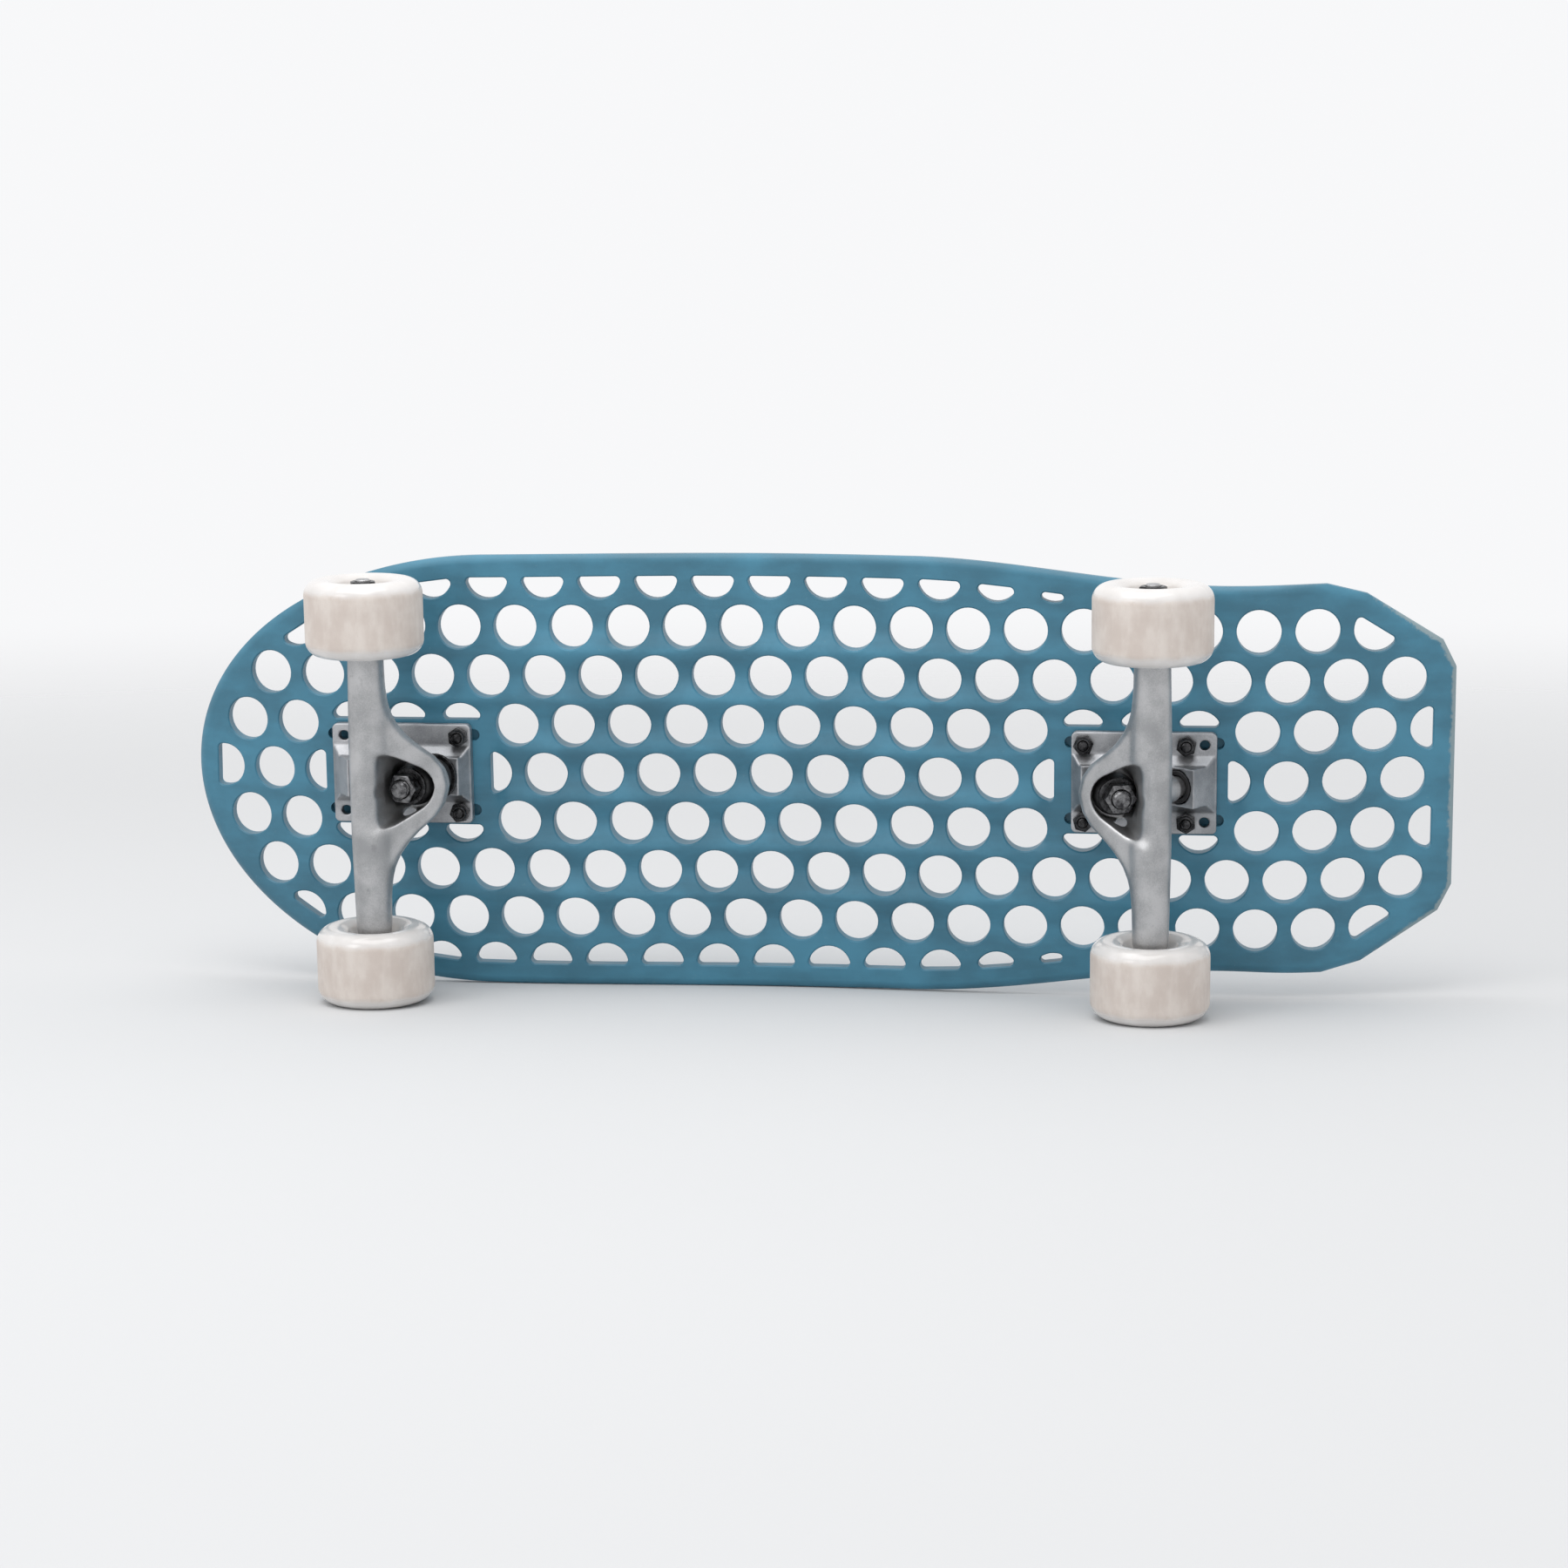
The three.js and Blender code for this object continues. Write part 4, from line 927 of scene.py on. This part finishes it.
def hex_nut(width, height, bore, collar=0.0):
    """A nut on z = 0: across its flats, high, with its bore's radius and its collar's height."""
    corner = width / 2 / math.cos(math.pi / 6)
    body_height = height - collar
    bar = start(bpy.ops.mesh.primitive_cylinder_add, vertices=6, radius=corner * MM,
                depth=body_height * MM, location=(0, 0, body_height / 2 * MM))
    bpy.ops.object.transform_apply(location=True, rotation=True, scale=True)
    rise, chamfer = 0.45 * (corner - width / 2) + 0.25, width / 2 - 0.25
    past, wide = 0.01, corner + 0.4
    cone = turned([(0, -past), (chamfer, -past), (wide, rise + 0.1), (wide, body_height - rise - 0.1),
                   (chamfer, body_height + past), (0, body_height + past)], steps=72)
    nut = joined(bar, "INTERSECT", cone)
    if collar:
        r = width / 2 * 0.86
        ring = turned([(0, body_height - 0.5), (r, body_height - 0.5), (r, height - 0.7),
                       (r - 0.25, height - 0.2), (r - 0.8, height), (0, height)], steps=72)
        joined(nut, "UNION", ring)
    mouth = bore + 0.5
    drill = turned([(0, -1), (mouth, -1), (mouth, 0), (bore, 0.5), (bore, height - 0.5),
                    (mouth, height), (mouth, height + 1), (0, height + 1)], steps=48)
    joined(nut, "DIFFERENCE", drill)
    modify(nut, "BEVEL", width=0.16 * MM, segments=2, angle_limit=math.radians(35))
    return nut


def threaded(bottom, top, radius, begin, end, pitch=1.1, depth=0.28):
    """A rod's side profile, smooth from its foot, with thread grooves between two heights."""
    profile, z = [(radius, bottom), (radius, begin)], begin
    while z + pitch <= end:
        profile += [(radius, z + 0.25 * pitch), (radius - depth, z + 0.6 * pitch)]
        profile.append((radius, z + 0.95 * pitch))
        z += pitch
    return profile + [(radius, end), (radius - 0.9, top), (0, top)]


BOLT_RADIUS, NUT_AT, NUT_HEIGHT, BOLT_TOP = 2.4, 6.1, 5.4, 12.9
lock_nut = hex_nut(9.5, NUT_HEIGHT, BOLT_RADIUS + 0.1, collar=1.5)
bolt_head = [(0, -THICKNESS), (4.5, -THICKNESS), (4.7, -THICKNESS + 0.25), (BOLT_RADIUS, -THICKNESS + 2.4)]
bolt_shank = threaded(-THICKNESS + 2.5, BOLT_TOP, BOLT_RADIUS, 6.0, BOLT_TOP - 0.5, pitch=0.85, depth=0.3)
bolt = turned(bolt_head + bolt_shank, steps=40)
for turn in (math.pi / 4, -math.pi / 4):
    cross = start(bpy.ops.mesh.primitive_cube_add, size=1, location=(0, 0, -THICKNESS * MM),
                  rotation=(0, 0, turn))
    cross.dimensions = (4.6 * MM, 1.0 * MM, 3.0 * MM)
    bpy.ops.object.transform_apply(location=True, rotation=True, scale=True)
    joined(bolt, "DIFFERENCE", cross)

turn_of_nut = np.random.default_rng(4)
bolt_xy = [(x, y) for x in BOLT_COLUMNS for y in (-BOLT_ROW, BOLT_ROW)]
for end, truck in TRUCKS.items():
    for number, (x, y) in enumerate(bolt_xy, 1):
        twist = float(turn_of_nut.uniform(0, math.tau))
        for model, part, height in ((bolt, "bolt", 0.0), (lock_nut, "lock_nut", NUT_AT)):
            one = place(copy_of(model), truck @ onto((x, y, height), (0, 0, 1), twist))
            name = f"{end}_{part}_{number}"
            finish_piece(one, name + "_looks", "board", "black_steel", BLACK_OXIDE, [name], angle=30)
for model in (bolt, lock_nut):
    bpy.data.objects.remove(model)
print("bolts and lock nuts placed")

# %% [markdown]
# ## The kingpin and what it carries
#
# The kingpin leans towards the axle. From the baseplate outwards it carries a cup washer, a
# bushing, the hanger's ring, a second bushing, a washer and a nut. Everything on it is round, so
# each piece is a turned profile. The bushings bulge a little between their washers, and the
# kingpin's free end shows its thread.

# %% Turned pieces on the kingpin
PIN_RADIUS = 4.76


def on_pin(height):
    return onto(Vector(PIN_FOOT) + PIN_AXIS * height, PIN_AXIS)


def washer_ring(radius, bore=4.96, thick=2.0):
    section = [(bore, 0), (radius, 0), (radius, thick), (bore, thick)]
    return turned(section, closed=True, bevel=0.45, segments=3)


def bushing_ring(foot, middle, top, height, bore=5.06):
    side = [(foot - 0.9, 0), (foot - 0.25, 0.25), (foot, 0.9)]
    for t in np.linspace(0.15, 0.85, 9):
        straight_side = foot + (top - foot) * t
        side.append((straight_side + (middle - (foot + top) / 2) * math.sin(math.pi * t), height * t))
    side += [(top, height - 0.9), (top - 0.25, height - 0.25), (top - 0.9, height)]
    return turned(side + [(bore, height), (bore, 0)], closed=True)


pin_head = [(0, 3), (7.1, 3), (7.5, 3.4), (7.5, 7)]
pin_profile = pin_head + threaded(7, 55.3, PIN_RADIUS, 40, 54.5, pitch=1.25, depth=0.4)
SEAT = 11.7  # height of the plate's seat along the kingpin
board_bushing = bushing_ring(10.7, 11.3, 11.1, 11.8)
road_bushing = bushing_ring(11.1, 11.2, 10.1, 9.4)
pin_pieces = [  # name, model, height, slot, finish
    ("kingpin", turned(pin_profile, 48), 0, "steel", WORN_STEEL),
    ("washer_board_side", washer_ring(12.5), SEAT + 0.3, "black_steel", BLACK_OXIDE),
    ("bushing_board_side", board_bushing, SEAT + 2.6, "black_urethane", URETHANE),
    ("bushing_road_side", road_bushing, SEAT + 20.6, "black_urethane", URETHANE),
    ("washer_road_side", washer_ring(10.0), SEAT + 30.3, "black_steel", BLACK_OXIDE),
    ("kingpin_nut", hex_nut(14.3, 7.6, PIN_RADIUS + 0.15), SEAT + 32.6, "steel", WORN_STEEL),
]
pivot_axis = Vector((math.cos(PIVOT_TILT), 0, math.sin(PIVOT_TILT)))
pivot_cup = turned([(0, -8.5), (8.3, -8.5), (8.7, -8.1), (8.7, 2.1), (8.3, 2.5), (6.7, 2.5), (6.3, 2.1),
                    (6.3, -2.5), (5.7, -3.9), (4.5, -5.2), (2.6, -6.1), (0, -6.3)], 56)
for end, truck in TRUCKS.items():
    for part, model, height, slot, finish in pin_pieces:
        one = place(copy_of(model), truck @ on_pin(height))
        finish_piece(one, f"{end}_{part}_looks", "board", slot, finish, [f"{end}_{part}"], angle=34)
    one = place(copy_of(pivot_cup), truck @ onto(PIVOT, pivot_axis))
    finish_piece(one, f"{end}_pivot_cup_looks", "board", "black_urethane", URETHANE,
                 [f"{end}_pivot_cup"])
for model in [piece[1] for piece in pin_pieces] + [pivot_cup]:
    bpy.data.objects.remove(model)
print("kingpins dressed")

# %% [markdown]
# ## Wheels, bearings and axles
#
# A wheel is cast urethane trued on a lathe, so its profile says it all: a straight tread, two
# large round lips, a shallow dish and the seats for two bearings. The bearings are rings with a
# shield set a little below their races. The axle runs through both wheels to its two nuts.

# %% Wheel profile
TRACK, HUB, HALF = 92.9, 12.0, 20.0  # middle of a wheel across, half its hub, half its width
LIP, DISH, GAP = 8.0, 1.5, 0.3
NUT_LENGTH, STANDS_OUT = 6.4, 1.2  # an axle nut, and how far the axle passes it


def wheel_half():
    """One half of the profile, from the web inside to the middle of the tread."""
    side = [(8.5, 4.7), (11.15, 4.7), (11.15, HUB), (11.5, HUB + 0.5)]
    side += [(14.4, HALF - DISH - 1.6), (15.0, HALF - DISH - 1.05), (15.8, HALF - DISH - 0.65)]
    side += [(18.2, HALF - 0.65), (19.2, HALF - 0.35), (20.4, HALF - 0.12), (21.7, HALF - 0.02)]
    for a in np.linspace(math.pi / 2, 0, 13):
        side.append((WHEEL_RADIUS - LIP + LIP * math.cos(a), HALF - LIP + LIP * math.sin(a)))
    return side + [(WHEEL_RADIUS, 6.0), (WHEEL_RADIUS, 0.01)]


half_profile = wheel_half()
wheel = turned(half_profile + [(r, -h) for r, h in half_profile[::-1]], 112, closed=True)
mark_place(wheel)
bearing = turned([(4.17, 5.2), (4.4, 5), (10.7, 5), (11, 5.3), (11, 11.7), (10.7, 12), (9.6, 12),
                  (9.3, 11.7), (9.3, 11.35), (6.4, 11.35), (6.4, 11.7), (6.15, 12), (4.4, 12),
                  (4.17, 11.8)], 72, closed=True)
BORE = 4.17 / math.cos(math.pi / 10)
tube = [(BORE, -4.7), (BORE + 1.5, -4.7), (BORE + 1.5, 4.7), (BORE, 4.7)]
spacer = turned(tube, 48, closed=True, bevel=0.2)
axle_nut = hex_nut(12.7, NUT_LENGTH, 4.05)
AXLE_END = TRACK + HUB + GAP + NUT_LENGTH + STANDS_OUT
half_axle = threaded(0.0, AXLE_END, 3.97, 99, AXLE_END - 0.6, pitch=1.2, depth=0.35)
axle = turned([(r, -h) for r, h in half_axle[:0:-1]] + half_axle[1:], 40)
print("wheel", len(wheel.data.polygons), "faces")

# %% Wheels on their axles
# The wheel called upper is the one farther from the floor.
for end, truck in TRUCKS.items():
    one = place(copy_of(axle), truck @ onto(AXLE, (0, 1, 0)))
    finish_piece(one, f"{end}_axle_looks", f"{end}_hanger_body", "steel", STEEL, [f"{end}_axle"])
    for side in (-1, 1):
        upper_side = (truck.to_3x3() @ Vector((0, side, 0))).z > 0
        at = f"{end}_{'upper' if upper_side else 'lower'}"
        hub_frame = truck @ onto((AXLE[0], side * TRACK, AXLE[2]), (0, side, 0))
        flipped = hub_frame @ Matrix.Rotation(math.pi, 4, "X")
        nut_at = (AXLE[0], side * (TRACK + HUB + GAP), AXLE[2])
        nut_frame = truck @ onto(nut_at, (0, side, 0), 0.3 * side)
        for model, part, frame_of, body, slot, finish in (
            (wheel, "wheel", hub_frame, f"{at}_wheel_body", "white_urethane", WHEEL_URETHANE),
            (bearing, "bearing_outer", hub_frame, f"{at}_wheel_body", "steel", DARK_STEEL),
            (bearing, "bearing_inner", flipped, f"{at}_wheel_body", "steel", DARK_STEEL),
            (spacer, "bearing_spacer", hub_frame, f"{end}_hanger_body", "steel", STEEL),
            (axle_nut, "axle_nut", nut_frame, f"{end}_hanger_body", "black_steel", BLACK_OXIDE),
        ):
            one = place(copy_of(model), frame_of)
            finish_piece(one, f"{at}_{part}_looks", body, slot, finish, [f"{at}_{part}"], angle=30)
for model in (wheel, bearing, spacer, axle_nut, axle):
    bpy.data.objects.remove(model)
print("wheels and axles placed")

# %% [markdown]
# ## A plain pale studio
#
# A round sheet of paper lies under the board and melts into the white light around it, so no
# horizon and no wall shows from any side. The light is as soft as an overcast sky: a bright white
# world, a wide lamp above, a weaker one in front, and little shadow but that under the board.

# %% Floor, world and lamps
FLOOR_FADES = (0.3, 2.8)  # metres from the middle, where the paper melts into the light
floor = start(bpy.ops.mesh.primitive_circle_add, vertices=96, radius=6, fill_type="NGON",
              location=(0, 0, 0))
floor.name = "studio_floor"


def paper():
    f = Finish("studio_paper", Roughness=0.9)
    x, y, z = f.split(f.object)
    away = f.length(add_node(f.tree, "ShaderNodeCombineXYZ", None, [x, y, 0.0]))
    colour = f.mix(f.noise(0.6, detail=2), (0.58, 0.585, 0.59), (0.6, 0.605, 0.61))
    return f.feed(Base_Color=colour, Alpha=1 - f.between(away, *FLOOR_FADES))


floor.data.materials.append(paper())

bpy.context.scene.view_settings.view_transform = "Standard"
world = bpy.data.worlds.new("studio_light")
bpy.context.scene.world = world
world.use_nodes = True
world.node_tree.nodes["Background"].inputs["Color"].default_value = (0.985, 0.988, 1.0, 1)
world.node_tree.nodes["Background"].inputs["Strength"].default_value = 0.95


def soft_lamp(name, place_at, aim, size, power):
    """A square area lamp aimed at a point."""
    lamp = start(bpy.ops.object.light_add, type="AREA", location=place_at)
    lamp.name = name
    lamp.data.shape = "SQUARE"
    lamp.data.size = size
    lamp.data.energy = power
    lamp.rotation_euler = (Vector(aim) - Vector(place_at)).to_track_quat("-Z", "Y").to_euler()


soft_lamp("overhead", (-0.2, -0.35, 1.7), (0, 0.1, 0.0), 1.5, 17)
soft_lamp("front_left", (-1.3, -1.6, 1.2), (0, 0, 0.12), 0.8, 6)

# %% Camera
camera = start(bpy.ops.object.camera_add, location=(0.2334, -1.8079, 0.3491),
               rotation=tuple(math.radians(a) for a in (82.758, 0.183, 7.625)))
camera.data.lens = 80
camera.data.sensor_width = 36
camera.data.dof.use_dof = False
bpy.context.scene.camera = camera
